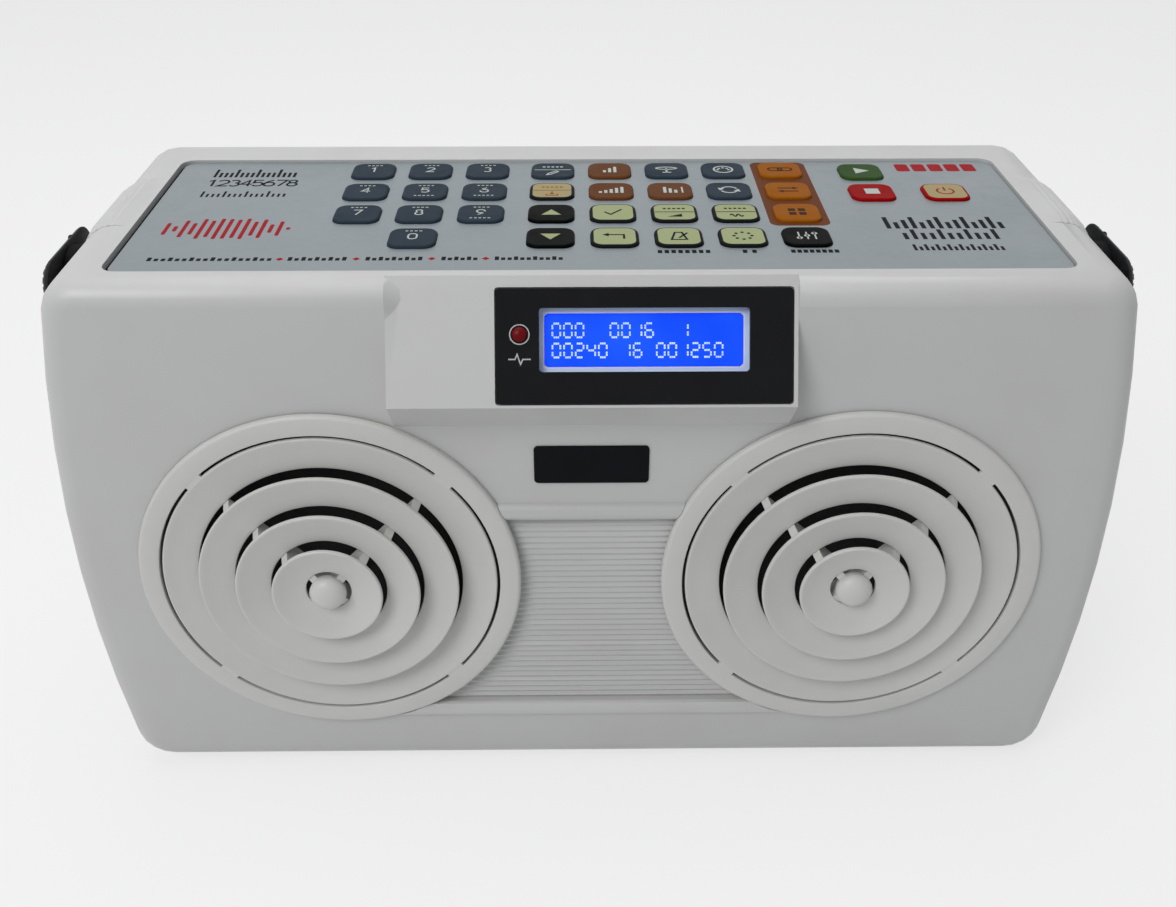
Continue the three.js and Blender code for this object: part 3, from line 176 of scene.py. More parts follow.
def moulded_surface():
    """Fine pitted grain, faint flow clouds and handling grime of moulded plastic."""
    taking = {"Color": (0.6, 0.6, 0.6, 1), "Grime Color": (0.3, 0.28, 0.25, 1), "Grain Scale": GRAIN_SCALE,
              "Grime": 0.12, "Roughness": 0.5}
    tree, taken, given = new_group("moulded_surface", taking, ("Color", "Roughness", "Height"))
    place = object_place(tree)
    grain = noise(tree, place, taken["Grain Scale"], 1.0)
    clouds = noise(tree, place, CLOUD_SCALE, 3.0, 0.6)
    specks = noise(tree, place, SPECK_SCALE, 2.0, 0.7)
    cloud_mask = spread(tree, clouds, 0.45, 0.75)
    speck_mask = spread(tree, specks, 0.68, 0.78, 0.0, 0.6)
    grime = calc(tree, "MULTIPLY", calc(tree, "MAXIMUM", cloud_mask, speck_mask), taken["Grime"])
    change = spread(tree, clouds, 0.3, 0.7, -0.05, 0.07)
    give(tree, given, Color=mixed(tree, grime, taken["Color"], taken["Grime Color"]),
         Roughness=calc(tree, "ADD", taken["Roughness"], change), Height=grain)
    return tree


def handled_gloss():
    """Smudges and hairline scratches that break up the shine of a glossy face."""
    taking = {"Roughness": 0.15, "Smudge": 0.15}
    tree, taken, given = new_group("handled_gloss", taking, ("Roughness", "Height"))
    place = object_place(tree)
    stretch = new_node(tree, "ShaderNodeMapping", Vector=place, Rotation=HAIR_TURN, Scale=HAIR_STRETCH)
    hairs = noise(tree, stretch.outputs["Vector"], 1.0, 1.0)
    smears = noise(tree, place, SMEAR_SCALE, 3.0, 0.65)
    smear = calc(tree, "MULTIPLY", spread(tree, smears, 0.45, 0.7), taken["Smudge"])
    smeared = calc(tree, "ADD", taken["Roughness"], smear)
    hair = spread(tree, hairs, 0.66, 0.74, 0.0, 0.05)
    give(tree, given, Roughness=calc(tree, "ADD", smeared, hair), Height=smears)
    return tree


def leather_grain():
    """Small raised cells of leathercloth or rubber, with darker creases."""
    taking = {"Color": (0.02, 0.02, 0.02, 1), "Crease Color": (0.005, 0.005, 0.005, 1),
              "Cell Scale": CELL_SCALE}
    tree, taken, given = new_group("leather_grain", taking, ("Color", "Height"))
    cells = tree.nodes.new("ShaderNodeTexVoronoi")
    cells.feature = "SMOOTH_F1"
    give(tree, cells, Vector=object_place(tree), Scale=taken["Cell Scale"])
    crease = spread(tree, cells.outputs["Distance"], 0.35, 0.75)
    give(tree, given, Color=mixed(tree, crease, taken["Color"], taken["Crease Color"]),
         Height=calc(tree, "SUBTRACT", 1.0, crease))
    return tree


MOULDED = moulded_surface()
GLOSS = handled_gloss()
LEATHER = leather_grain()


def blank(name, roughness, **sockets):
    """A material with its Principled shader and the plain values set on it."""
    made = bpy.data.materials.new(name)
    made.use_nodes = True
    shader = made.node_tree.nodes["Principled BSDF"]
    give(made.node_tree, shader, Roughness=roughness, **sockets)
    return made, made.node_tree, shader


def place_group(tree, group, **values):
    node = tree.nodes.new("ShaderNodeGroup")
    node.node_tree = group
    give(tree, node, **values)
    return node.outputs


def bump(tree, shader, height, strength, distance):
    node = new_node(tree, "ShaderNodeBump", Height=height, Strength=strength, Distance=distance)
    give(tree, shader, Normal=node.outputs["Normal"])


# How far the surfaces' fine relief stands out, in metres
GRAIN_RELIEF = 0.00006
SMEAR_RELIEF = 0.0002
CELL_RELIEF = 0.0001
FLAKE_RELIEF = 0.00004
WEAVE_RELIEF = 0.0004
GRIME_BROWN = "8a8375"


def moulded(name, colour, roughness=0.5, grain=GRAIN_SCALE, grime=0.1, grime_colour=GRIME_BROWN, **sockets):
    """Moulded plastic: grain, clouds and a little grime."""
    made, tree, shader = blank(name, roughness, **sockets)
    group = place_group(tree, MOULDED, Color=linear(colour), Grime_Color=linear(grime_colour),
                        Grain_Scale=grain, Grime=grime, Roughness=roughness)
    give(tree, shader, Base_Color=group["Color"], Roughness=group["Roughness"])
    bump(tree, shader, group["Height"], 0.25, GRAIN_RELIEF)
    return made


def glossy(name, colour, roughness, smudge, shade, **sockets):
    """Glossy plastic with smudges and a slow change of tone."""
    made, tree, shader = blank(name, roughness, **sockets)
    group = place_group(tree, GLOSS, Roughness=roughness, Smudge=smudge)
    tone = mixed(tree, spread(tree, group["Height"], 0.35, 0.7, 0.0, 0.12), linear(colour), linear(shade))
    give(tree, shader, Base_Color=tone, Roughness=group["Roughness"])
    bump(tree, shader, group["Height"], 0.05, SMEAR_RELIEF)
    return made


def grained(name, colour, crease, cell, roughness, **sockets):
    """Leathercloth, rubber or paper pulp: a cell grain with darker creases."""
    made, tree, shader = blank(name, roughness, **sockets)
    group = place_group(tree, LEATHER, Color=linear(colour), Crease_Color=linear(crease), Cell_Scale=cell)
    give(tree, shader, Base_Color=group["Color"])
    bump(tree, shader, group["Height"], 0.4, CELL_RELIEF)
    return made


def bright_metal(name, colour, roughness):
    """Turned and plated metal with fine marks."""
    made, tree, shader = blank(name, roughness, Metallic=1.0)
    group = place_group(tree, GLOSS, Roughness=roughness, Smudge=0.25)
    dull = spread(tree, group["Height"], 0.35, 0.7, 0.0, 0.35)
    tone = mixed(tree, dull, linear(colour), linear("4a4844"))
    give(tree, shader, Base_Color=tone, Roughness=group["Roughness"])
    return made


def metal_film():
    """The key panel's silver film: a fine flake under a satin coat, slightly cloudy."""
    made, tree, shader = blank("panel_film", 0.42, Metallic=0.25, Coat_Weight=0.25, Coat_Roughness=0.3)
    place = object_place(tree)
    flake = noise(tree, place, FLAKE_SCALE, 1.0)
    cloud = noise(tree, place, FILM_CLOUD_SCALE, 3.0, 0.6)
    tone = mixed(tree, spread(tree, cloud, 0.3, 0.7), linear("7c858a"), linear("848c90"))
    shade = spread(tree, flake, 0.3, 0.7, 0.0, 0.16)
    group = place_group(tree, GLOSS, Roughness=0.4, Smudge=0.14)
    give(tree, shader, Base_Color=mixed(tree, shade, tone, linear("5c6368")), Roughness=group["Roughness"])
    bump(tree, shader, flake, 0.12, FLAKE_RELIEF)
    return made


def backlit(name, dim, bright, cloud, strength, **sockets):
    """A backlit face: a slightly cloudy colour that shines a little by itself."""
    made, tree, shader = blank(name, 0.3, Emission_Strength=strength, **sockets)
    glow = noise(tree, object_place(tree), cloud)
    tone = mixed(tree, spread(tree, glow, 0.3, 0.7), linear(dim), linear(bright))
    give(tree, shader, Base_Color=tone, Emission_Color=tone)
    return made


# Distances between the band's ribs and between its threads
WEAVE_RIB = 1.6
WEAVE_THREAD = 2.2


def woven_webbing():
    """Black strap webbing: ribs across the band crossed by long threads, lighter on their crests."""
    sheen = {"Sheen_Weight": 0.1, "Sheen_Roughness": 0.5}
    made, tree, shader = blank("strap_webbing", 0.72, Specular_IOR_Level=0.3, **sheen)
    uv = tree.nodes.new("ShaderNodeUVMap")
    uv.uv_map = "weave"
    apart = new_node(tree, "ShaderNodeSeparateXYZ", Vector=uv.outputs["UV"]).outputs
    across = calc(tree, "SINE", calc(tree, "MULTIPLY", apart["X"], 2 * math.pi / WEAVE_RIB))
    row = calc(tree, "FLOOR", calc(tree, "MULTIPLY", apart["X"], 1 / WEAVE_RIB))
    shift = calc(tree, "MULTIPLY", row, math.pi)
    turn = calc(tree, "ADD", calc(tree, "MULTIPLY", apart["Y"], 2 * math.pi / WEAVE_THREAD), shift)
    along = spread(tree, calc(tree, "SINE", turn), -1.0, 1.0, 0.35, 1.0)
    height = calc(tree, "MULTIPLY", calc(tree, "ABSOLUTE", across), along)
    fuzz = noise(tree, object_place(tree), FUZZ_SCALE)
    thread = calc(tree, "ADD", height, calc(tree, "MULTIPLY", fuzz, 0.3))
    crest = spread(tree, thread, 0.3, 1.2)
    give(tree, shader, Base_Color=mixed(tree, crest, linear("08090b"), linear("212327")))
    bump(tree, shader, thread, 0.8, WEAVE_RELIEF)
    return made


# Prints and paints hardly shine, so they keep their tone under a white sky.
MATT = 0.03
INK_GRAIN = 3000.0


def ink(name, colour, roughness=0.5, grime=0.06, grime_colour=GRIME_BROWN):
    return moulded(name, colour, roughness, INK_GRAIN, grime, grime_colour, Specular_IOR_Level=MATT)


def key_paint(name, colour, shade):
    return glossy(name, colour, 0.36, 0.14, shade, Specular_IOR_Level=0.02)


# Materials
WALL_PLASTIC = moulded("housing_plastic", "bebebd", 0.4, grime=0.07)
GRILLE_PLASTIC = moulded("grille_plastic", "c8c7c4", 0.42, 1800.0, 0.08)
COVER_PLASTIC = moulded("cover_plastic", "b9b9b8", 0.5, 2000.0)
WINDOW_GLOSS = glossy("window_gloss", "0d0e10", 0.12, 0.14, "1d1f22", Specular_IOR_Level=0.12)
LCD_FRAME = moulded("display_frame", "c8daff", 0.4, 2600.0, 0.04)
LCD_RIM = moulded("display_rim", "dfe6f2", 0.35, 2600.0, 0.02)
PANEL_FILM = metal_film()
DISPLAY_BLUE = backlit("display_blue", "0f3fe6", "1b50f6", 40.0, 0.62, Specular_IOR_Level=MATT)
DISPLAY_DOTS = backlit("display_dots", "a9c6ff", "c8dcff", 300.0, 0.45)
LAMP_RED = glossy("lamp_red", "66080f", 0.3, 0.05, "4a050a", Specular_IOR_Level=0.1)
BLACK_MOULDED = moulded("socket_black", "1d1e20", 0.42, grime=0.2, grime_colour="4b4a48")
# Black of the strap washers, and the painted shade in the gap under the key panel film's edge
WASHER_BLACK_AND_GAP_SHADE = moulded("washer_black_and_gap_shade", "070708", 0.7, grime_colour="151515", Specular_IOR_Level=0.1)
PLATE_BLACK = glossy("plate_black", "141518", 0.3, 0.2, "222427", Specular_IOR_Level=MATT)
ANCHOR_GLOSS = glossy("anchor_gloss", "1c1e22", 0.16, 0.12, "33363c", Coat_Weight=0.6)
STRAP_WEAVE = woven_webbing()
STRAP_LEATHER = grained("strap_leathercloth", "121315", "060708", 700.0, 0.5, Specular_IOR_Level=0.2)
STRAP_THREAD = moulded("strap_thread", "3c3f44", 0.7, INK_GRAIN, 0.2)
FOOT_RUBBER = grained("foot_rubber", "1a1a1a", "0c0c0c", 1600.0, 0.8)
CONE_PAPER = grained("cone_paper", "121212", "060606", 1300.0, 0.85)
BASKET_PAINT = moulded("basket_paint", "303234", grime=0.15, grime_colour="5b5b5b", Metallic=0.3)
BOARD_GREEN = moulded("board_green", "24583a", 0.45, 700.0, 0.4, "8f9a62")
PIN_METAL = bright_metal("pin_nickel", "c9c6bd", 0.25)
SCREW_METAL = bright_metal("screw_zinc", "a3a5a6", 0.32)
INK_DARK = ink("ink_dark", "121416", grime_colour="3b3f41")
INK_PALE = ink("ink_pale", "b4bab6")
INK_RED = ink("ink_red", "96131e", 0.45)
INK_BLOCK = ink("ink_block", "613419", 0.4, 0.08, "472714")
INK_OCHRE = ink("ink_ochre", "8a5a20", 0.45)
INK_BROWN = ink("ink_brown", "2c1a0c", 0.45)
KEY_SLATE = key_paint("key_slate", "2b3640", "212a33")
KEY_BROWN = key_paint("key_brown", "5e391f", "4b2e18")
KEY_ORANGE = key_paint("key_orange", "8f5108", "784005")
KEY_GREEN_PALE = key_paint("key_pale_green", "9ba27a", "8a916b")
KEY_CREAM = key_paint("key_cream", "a0936d", "8e815d")
KEY_GREEN = key_paint("key_green", "304a23", "263c1a")
KEY_RED = key_paint("key_red", "8c0405", "750304")
KEY_BLACK = key_paint("key_black", "020303", "060707")


# Mesh tools
def arc(x, y, radius, start, end, count):
    """Points on an arc, with its angles in degrees."""
    angles = [math.radians(start + (end - start) * i / count) for i in range(count + 1)]
    return [(x + radius * math.cos(a), y + radius * math.sin(a)) for a in angles]


def circle(x, y, radius, count):
    return arc(x, y, radius, 0, 360, count)[:-1]


def rectangle(width, height, x=0.0, y=0.0):
    right, up = width / 2, height / 2
    return [(x - right, y - up), (x + right, y - up), (x + right, y + up), (x - right, y + up)]


def rounded(width, height, corner, x=0.0, y=0.0, count=6):
    """A rectangle with rounded corners, counter-clockwise."""
    right, up = width / 2 - corner, height / 2 - corner
    corners = ((right, up, 0), (-right, up, 90), (-right, -up, 180), (right, -up, 270))
    return [p for cx, cy, start in corners for p in arc(x + cx, y + cy, corner, start, start + 90, count)]


def inset_outline(size, corner, inset, x=0.0, y=0.0):
    """A rounded rectangle drawn in by an inset, its corners with it."""
    return rounded(size[0] - 2 * inset, size[1] - 2 * inset, corner - inset, x, y)


def curve(start, middle, end, count):
    """Points on a curve from start to end that bends towards the middle."""
    shares = [i / count for i in range(count + 1)]
    return [start * (1 - t) ** 2 + middle * 2 * t * (1 - t) + end * t * t for t in shares]


def mitre(one, two, least):
    """The step to a mitred corner between two directions, for a line one unit away."""
    normal = Vector((-(one.y + two.y), one.x + two.x)).normalized()
    return normal / max(least, normal.dot(Vector((-two.y, two.x))))


def ring_of(bm, outline, level, place):
    return [bm.verts.new(place @ Vector((x, y, level))) for x, y in outline]


def bridge(bm, low, high, paint, closed=True):
    """Quads between two rings or rows of vertices."""
    count = len(low)
    for i in range(count if closed else count - 1):
        j = (i + 1) % count
        bm.faces.new((low[i], low[j], high[j], high[i])).material_index = paint


def skin(bm, rings, place, paints):
    """A closed skin over outlines and their levels, one paint for each band, capped at both ends."""
    made = [ring_of(bm, outline, level, place) for outline, level in rings]
    for i, (low, high) in enumerate(zip(made, made[1:])):
        bridge(bm, low, high, paints[min(i, len(paints) - 1)])
    bm.faces.new(list(reversed(made[0]))).material_index = paints[0]
    bm.faces.new(made[-1]).material_index = paints[-1]


def plate(bm, outer, holes, low, high, place, paint=0, edge=0.0):
    """A flat plate with holes and a small bevel round its outer edge."""
    inner = [drawn_in(outer, edge) if edge else outer, *holes]
    corners = [point for loop in inner for point in loop]
    top = ring_of(bm, corners, high, place)
    under = ring_of(bm, corners, low, place)
    for a, b, c in tessellate_polygon([[Vector((x, y, 0)) for x, y in loop] for loop in inner]):
        bm.faces.new((top[a], top[b], top[c])).material_index = paint
        bm.faces.new((under[c], under[b], under[a])).material_index = paint
    start = 0
    for number, loop in enumerate(inner):
        count = len(loop)
        up, down = top[start:start + count], under[start:start + count]
        if edge and number == 0:
            brim = ring_of(bm, outer, high - edge, place)
            base = ring_of(bm, outer, low, place)
            bridge(bm, brim, up, paint)
            bridge(bm, base, brim, paint)
            bridge(bm, down, base, paint)
        else:
            bridge(bm, down, up, paint)
        start += count


def drawn_in(outline, distance):
    """A convex outline, counter-clockwise, drawn in by a distance."""
    made = []
    count = len(outline)
    for i in range(count):
        before, here, after = (Vector(outline[(i + k) % count]) for k in (-1, 0, 1))
        step = mitre((here - before).normalized(), (after - here).normalized(), 0.3)
        made.append(tuple(here + step * distance))
    return made


def stroke(bm, points, width, low, high, place, paint, closed=False):
    """A printed line of even width along points, with mitred corners."""
    count = len(points)
    rails = []
    for i, here in enumerate(points):
        here = Vector(here)
        before = Vector(points[i - 1]) if i or closed else None
        after = Vector(points[(i + 1) % count]) if i < count - 1 or closed else None
        one = (here - before).normalized() if before is not None else (after - here).normalized()
        two = (after - here).normalized() if after is not None else one
        step = mitre(one, two, 0.4) * width / 2
        rails.append((here + step, here - step))
    rows = []
    for left, right in rails:
        corners = ((left, low), (right, low), (right, high), (left, high))
        rows.append([bm.verts.new(place @ Vector((p.x, p.y, z))) for p, z in corners])
    for i in range(count if closed else count - 1):
        bridge(bm, rows[i], rows[(i + 1) % count], paint)
    if not closed:
        bm.faces.new(list(reversed(rows[0]))).material_index = paint
        bm.faces.new(rows[-1]).material_index = paint


def turned(bm, profile, place, paint=0, count=MEDIUM, closed=False):
    """A profile of radius and level turned about the place's z axis."""
    rows = []
    for radius, level in profile:
        if radius < 1e-6:
            rows.append([bm.verts.new(place @ Vector((0, 0, level)))] * count)
        else:
            rows.append(ring_of(bm, circle(0, 0, radius, count), level, place))
    pairs = list(zip(rows, rows[1:])) + ([(rows[-1], rows[0])] if closed else [])
    for low, high in pairs:
        for i in range(count):
            j = (i + 1) % count
            corners = list(dict.fromkeys((low[i], low[j], high[j], high[i])))
            if len(corners) > 2:
                bm.faces.new(corners).material_index = paint


def finish_mesh(bm, name, sharp):
    bmesh.ops.recalc_face_normals(bm, faces=bm.faces)
    mesh = bpy.data.meshes.new(name)
    bm.to_mesh(mesh)
    bm.free()
    mesh.transform(Matrix.Scale(MM, 4))
    mesh.polygons.foreach_set("use_smooth", [True] * len(mesh.polygons))
    mesh.set_sharp_from_angle(angle=math.radians(sharp))
    return mesh


def link(thing):
    bpy.context.scene.collection.objects.link(thing)


def piece(name, bm, materials, stands_for=(), body="housing", sharp=35):
    """A piece on its body, with its materials and the nodes it stands for."""
    made = bpy.data.objects.new(name, finish_mesh(bm, name, sharp))
    link(made)
    for material in materials:
        made.data.materials.append(material)
    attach(made, body)
    if stands_for:
        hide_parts(*stands_for)
    return made


WELD = 0.002
FLAT = 0.4


def smooth_shell(name, node, material, width, sharp=30):
    """A CAD shell welded, smooth over its rounded faces and with its edges eased."""
    bm = bmesh.new()
    bm.from_mesh(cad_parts[node].data)
    bmesh.ops.transform(bm, matrix=Matrix.Scale(1 / MM, 4), verts=bm.verts)
    bmesh.ops.remove_doubles(bm, verts=bm.verts, dist=WELD)
    bmesh.ops.dissolve_limit(bm, angle_limit=math.radians(FLAT), verts=bm.verts, edges=bm.edges)
    for face in bm.faces:
        face.material_index = 0
    made = piece(name, bm, [material], (node,), sharp=sharp)
    ease = made.modifiers.new("eased_edges", "BEVEL")
    ease.width = width * MM
    ease.segments = 2
    ease.limit_method = "ANGLE"
    ease.angle_limit = math.radians(sharp)
    ease.use_clamp_overlap = True
    ease.harden_normals = True
    return made


smooth_shell("housing_shell", "main_housing", WALL_PLASTIC, 0.4, 25)
smooth_shell("rear_cover_shell", "rear_cover", COVER_PLASTIC, 0.3)


# Speaker grilles. Each louvre: radius and rise of its lip, fall to its inner edge, that edge's radius.
LOUVRES = ((56.5, 0.0, 1.6, 44.6), (43.7, 3.6, 2.2, 31.8), (30.9, 6.6, 3.0, 19.4), (18.5, 8.5, 3.5, 7.6))
LIP_DROP = 1.2
LOUVRE_THICKNESS = 1.4
LOUVRE_SAG = 0.5
LIP_ROUND = 0.55
SLIT_OUTER = 57.5
SKIRT_RADIUS = 59.7
FLANGE_RADIUS = 64.6
FLANGE_ROUND = 1.4
FLANGE_SEAT = -2.2
FLANGE_CROWN = 0.12
SKIRT_BACK = -4.8
SLIT_ROUND = 0.35
SLIT_MIDDLE = 57.0
SLIT_BRIDGE = (2.2, 7.0)
SLIT_BRIDGE_LEVELS = (-1.2, -0.06)
SPOKE_REACH = 58.2
SPOKE_LEVELS = (-2.6, -1.4)
SPOKE_BEHIND = 1.1
SPOKE_INSET = 0.5
SPOKE_TOP = (3.1, 5.9)
SPOKE_HALF = 1.4
HUB_RADIUS = 6.2
HUB_SHOULDER = 6.4
HUB_FOOT = ((0, 3.4), (5.4, 3.4), (5.9, 4.2))


def louvre_profile(lip, rise, fall, inner):
    """One louvre ring: a rounded lip, a dished face and an eased inner edge."""
    crown = arc(lip - LIP_ROUND, rise - LIP_ROUND, LIP_ROUND, 0, 105, 7)
    start, end = Vector(crown[-1]), Vector((inner + ROUND, rise - fall))
    middle = (start + end) / 2 - Vector((0, 2 * LOUVRE_SAG))
    dish = curve(start, middle, end, 10)[1:]
    edge = arc(inner + ROUND, rise - fall - ROUND, ROUND, 120, 180, 3)
    return [(lip, rise - LIP_DROP), *crown, *dish, *edge, (inner, rise - fall - LOUVRE_THICKNESS)]


def spoke_outline():
    """The side view of a spoke, from the rim on one side to the rim on the other."""
    half = [(SPOKE_REACH, SPOKE_LEVELS[1])]
    for lip, rise, fall, inner in LOUVRES:
        half += [(lip - SPOKE_INSET, rise - SPOKE_BEHIND), (inner, rise - fall - SPOKE_INSET)]
    half += [SPOKE_TOP]
    foot = [(-SPOKE_REACH, SPOKE_LEVELS[0]), (SPOKE_REACH, SPOKE_LEVELS[0])]
    return [*foot, *half, *[(-x, y) for x, y in reversed(half)]]


def speaker_grille(side):
    bm = bmesh.new()
    node = f"{side}_speaker_grille"
    place = at(node_middle(node).x, FLANGE_FACE, node_middle(node).z) @ FRONT_TURN
    rim = arc(FLANGE_RADIUS - FLANGE_ROUND, -FLANGE_ROUND, FLANGE_ROUND, 0, 90, 6)
    slit = arc(SLIT_OUTER + SLIT_ROUND, -SLIT_ROUND, SLIT_ROUND, 90, 180, 4)
    flange = [(SKIRT_RADIUS, SKIRT_BACK), (SKIRT_RADIUS, FLANGE_SEAT), (FLANGE_RADIUS, FLANGE_SEAT), *rim,
              ((FLANGE_RADIUS + SLIT_OUTER) / 2, FLANGE_CROWN), *slit, (SLIT_OUTER, SKIRT_BACK)]
    turned(bm, flange, place, count=FINE, closed=True)
    for louvre in LOUVRES:
        turned(bm, louvre_profile(*louvre), place, count=FINE, closed=True)
    squash = (GRILLE_REACH - HUB_SHOULDER) / HUB_RADIUS
    dome = [(x, HUB_SHOULDER + y * squash) for x, y in arc(0, 0, HUB_RADIUS, 0, 90, 9)]
    turned(bm, [*HUB_FOOT, *dome[:-1], (0, GRILLE_REACH)], place)
    for angle in (45, 135):
        spoke = place @ rotation(angle, "Z")
        plate(bm, spoke_outline(), [], -SPOKE_HALF, SPOKE_HALF, spoke @ rotation(90, "X"))
        for end in (-1, 1):
            plate(bm, rectangle(*SLIT_BRIDGE), [], *SLIT_BRIDGE_LEVELS, spoke @ at(end * SLIT_MIDDLE, 0, 0))
    piece(f"{side}_speaker_louvres", bm, [GRILLE_PLASTIC], (node,), sharp=32)


for side in ("left", "right"):
    speaker_grille(side)


# Display pod: window, display, lamp
POD_TURN = rotation(62, "X")
WINDOW_SIZE = (90.3, 35.1)
WINDOW_CORNER = 1.2
WINDOW_LOW, WINDOW_HIGH = -1.3, 0.2
DISPLAY_SIZE = (63.9, 19.3)
DISPLAY_CORNER = 1.0
DISPLAY_UP = 1.9
DISPLAY_FRAME = 1.45
DISPLAY_FACE = -4.1
FRAME_FACE = -3.3
LAMP_PLACE = (-37.9, 3.6)
LAMP_RADIUS = 2.35
LAMP_RING = 2.95
LAMP_GAP = 0.1
LAMP_RISE = 1.2
LAMP_BACK = -4.3
LAMP_COLLAR = 3.2
PULSE = ((-3.4, 0), (-1.4, 0), (-0.7, 1.5), (0.3, -1.5), (1.0, 0), (3.4, 0))
PULSE_DOWN = 7.5
PULSE_LINE = 0.4
RING_LINE = 0.35
RIM_OUT = 0.2
RIM_CORNER = 0.5
RIM_LINE = 0.45
EDGE = 0.2

# A print stands out by the first distance and is rooted by the second.
PRINT = 0.04
PRINT_ROOT = -0.02


def pod_place():
    """The middle of the window, on the pod's tilted face, with local z towards the player."""
    out = POD_TURN.to_3x3() @ Vector((0, 0, 1))
    return at(*node_middle("display_window") - out * (WINDOW_LOW + WINDOW_HIGH) / 2) @ POD_TURN


def paint_node(node, material):
    """A CAD node keeps its own shape and gets a material."""
    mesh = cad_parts[node].data
    mesh.materials.clear()
    mesh.materials.append(material)


def display_window():
    bm = bmesh.new()
    holes = [rounded(*DISPLAY_SIZE, DISPLAY_CORNER, 0, DISPLAY_UP),
             circle(*LAMP_PLACE, LAMP_RADIUS + LAMP_GAP, 32)]
    window = rounded(*WINDOW_SIZE, WINDOW_CORNER)
    plate(bm, window, holes, WINDOW_LOW, WINDOW_HIGH, pod_place(), 0, EDGE)
    top = pod_place() @ at(0, 0, WINDOW_HIGH)
    stroke(bm, circle(*LAMP_PLACE, LAMP_RING, 32), RING_LINE, 0, PRINT, top, 1, True)
    pulse = [(LAMP_PLACE[0] + x, LAMP_PLACE[1] - PULSE_DOWN + y) for x, y in PULSE]
    stroke(bm, pulse, PULSE_LINE, 0, PRINT, top, 1)
    piece("display_window_plate", bm, [WINDOW_GLOSS, INK_PALE], ("display_window",))


def display_rim():
    """The pale edge round the display's glass."""
    bm = bmesh.new()
    size = [length - 2 * DISPLAY_FRAME + 2 * RIM_OUT for length in DISPLAY_SIZE]
    rim = rounded(*size, RIM_CORNER, 0, DISPLAY_UP, 3)
    stroke(bm, rim, RIM_LINE, PRINT_ROOT, PRINT, pod_place() @ at(0, 0, FRAME_FACE), 0, True)
    piece("display_rim", bm, [LCD_RIM])


# Characters of the display: a five by seven grid of dots, filled segment by segment
DOT_PITCH = (0.60, 0.70)
DOT_SIZE = (0.52, 0.60)
DOT_ROWS = 7
CHARACTER_PITCH = 3.55
FIRST_CHARACTER = -28.27
ROW_TOPS = (5.45, -0.65)
DISPLAY_ROWS = ("000  0016  1", "00240 16 001250")
SEGMENTS = {
    "a": [(1, 6), (2, 6), (3, 6)], "g": [(1, 3), (2, 3), (3, 3)], "d": [(1, 0), (2, 0), (3, 0)],
    "f": [(0, 4), (0, 5)], "b": [(4, 4), (4, 5)], "e": [(0, 1), (0, 2)], "c": [(4, 1), (4, 2)],
}
LIT_SEGMENTS = {"0": "abcdef", "1": "bc", "2": "abged", "4": "fgbc", "5": "afgcd", "6": "afgedc"}


def display_dots():
    bm = bmesh.new()
    place = pod_place() @ at(0, DISPLAY_UP, DISPLAY_FACE)
    for text, top in zip(DISPLAY_ROWS, ROW_TOPS):
        for number, sign in enumerate(text):
            for segment in LIT_SEGMENTS.get(sign, ""):
                for column, row in SEGMENTS[segment]:
                    x = FIRST_CHARACTER + number * CHARACTER_PITCH + (column + 0.5) * DOT_PITCH[0]
                    y = top - (DOT_ROWS - 0.5 - row) * DOT_PITCH[1]
                    plate(bm, rectangle(*DOT_SIZE, x, y), [], -0.01, PRINT, place)
    piece("display_characters", bm, [DISPLAY_DOTS])


def beat_lamp():
    bm = bmesh.new()
    squash = LAMP_RISE / LAMP_RADIUS
    dome = [(x, WINDOW_HIGH + y * squash) for x, y in arc(0, 0, LAMP_RADIUS, 0, 90, 8)]
    collar = [(0, LAMP_BACK), (LAMP_COLLAR, LAMP_BACK),
              (LAMP_COLLAR, FRAME_FACE), (LAMP_RADIUS, FRAME_FACE)]
    turned(bm, [*collar, *dome[:-1], (0, dome[-1][1])], pod_place() @ at(*LAMP_PLACE, 0), count=32)
    piece("beat_lamp", bm, [LAMP_RED], ("beat_led",))


display_window()
display_rim()
display_dots()
beat_lamp()
paint_node("lcd_frame", LCD_FRAME)
paint_node("lcd_glass", DISPLAY_BLUE)


# Prints on the keys and the key panel, drawn about the middle of a key
def line(*points):
    return "line", points


def loop(points):
    return "loop", points


def area(*points):
    return "area", points


def dot(x, y, radius):
    return area(*circle(x, y, radius, 10))


def bar(x, y, width, height):
    """An upright mark on its foot at x, y."""
    return area(*rectangle(width, height, x, y + height / 2))


def ticks(count, y, width=0.9, pitch=1.5, height=0.6):
    """A row of short dashes, evenly spaced about the middle."""
    return [bar((i - (count - 1) / 2) * pitch, y, width, height) for i in range(count)]


def bars(heights, pitch=1.9, foot=-2.8):
    """Bars of a level picture, side by side on one foot line."""
    first = -(len(heights) - 1) / 2 * pitch
    return [bar(first + i * pitch, foot, 1.1, height) for i, height in enumerate(heights)]


def print_marks(bm, marks, place, paint, width=0.7, size=1.0, x=0.0, y=0.0):
    for kind, given in marks:
        points = [(x + size * px, y + size * py) for px, py in given]
        if kind == "area":
            plate(bm, points, [], PRINT_ROOT, PRINT, place, paint)
        else:
            stroke(bm, points, width * size, PRINT_ROOT, PRINT, place, paint, kind == "loop")


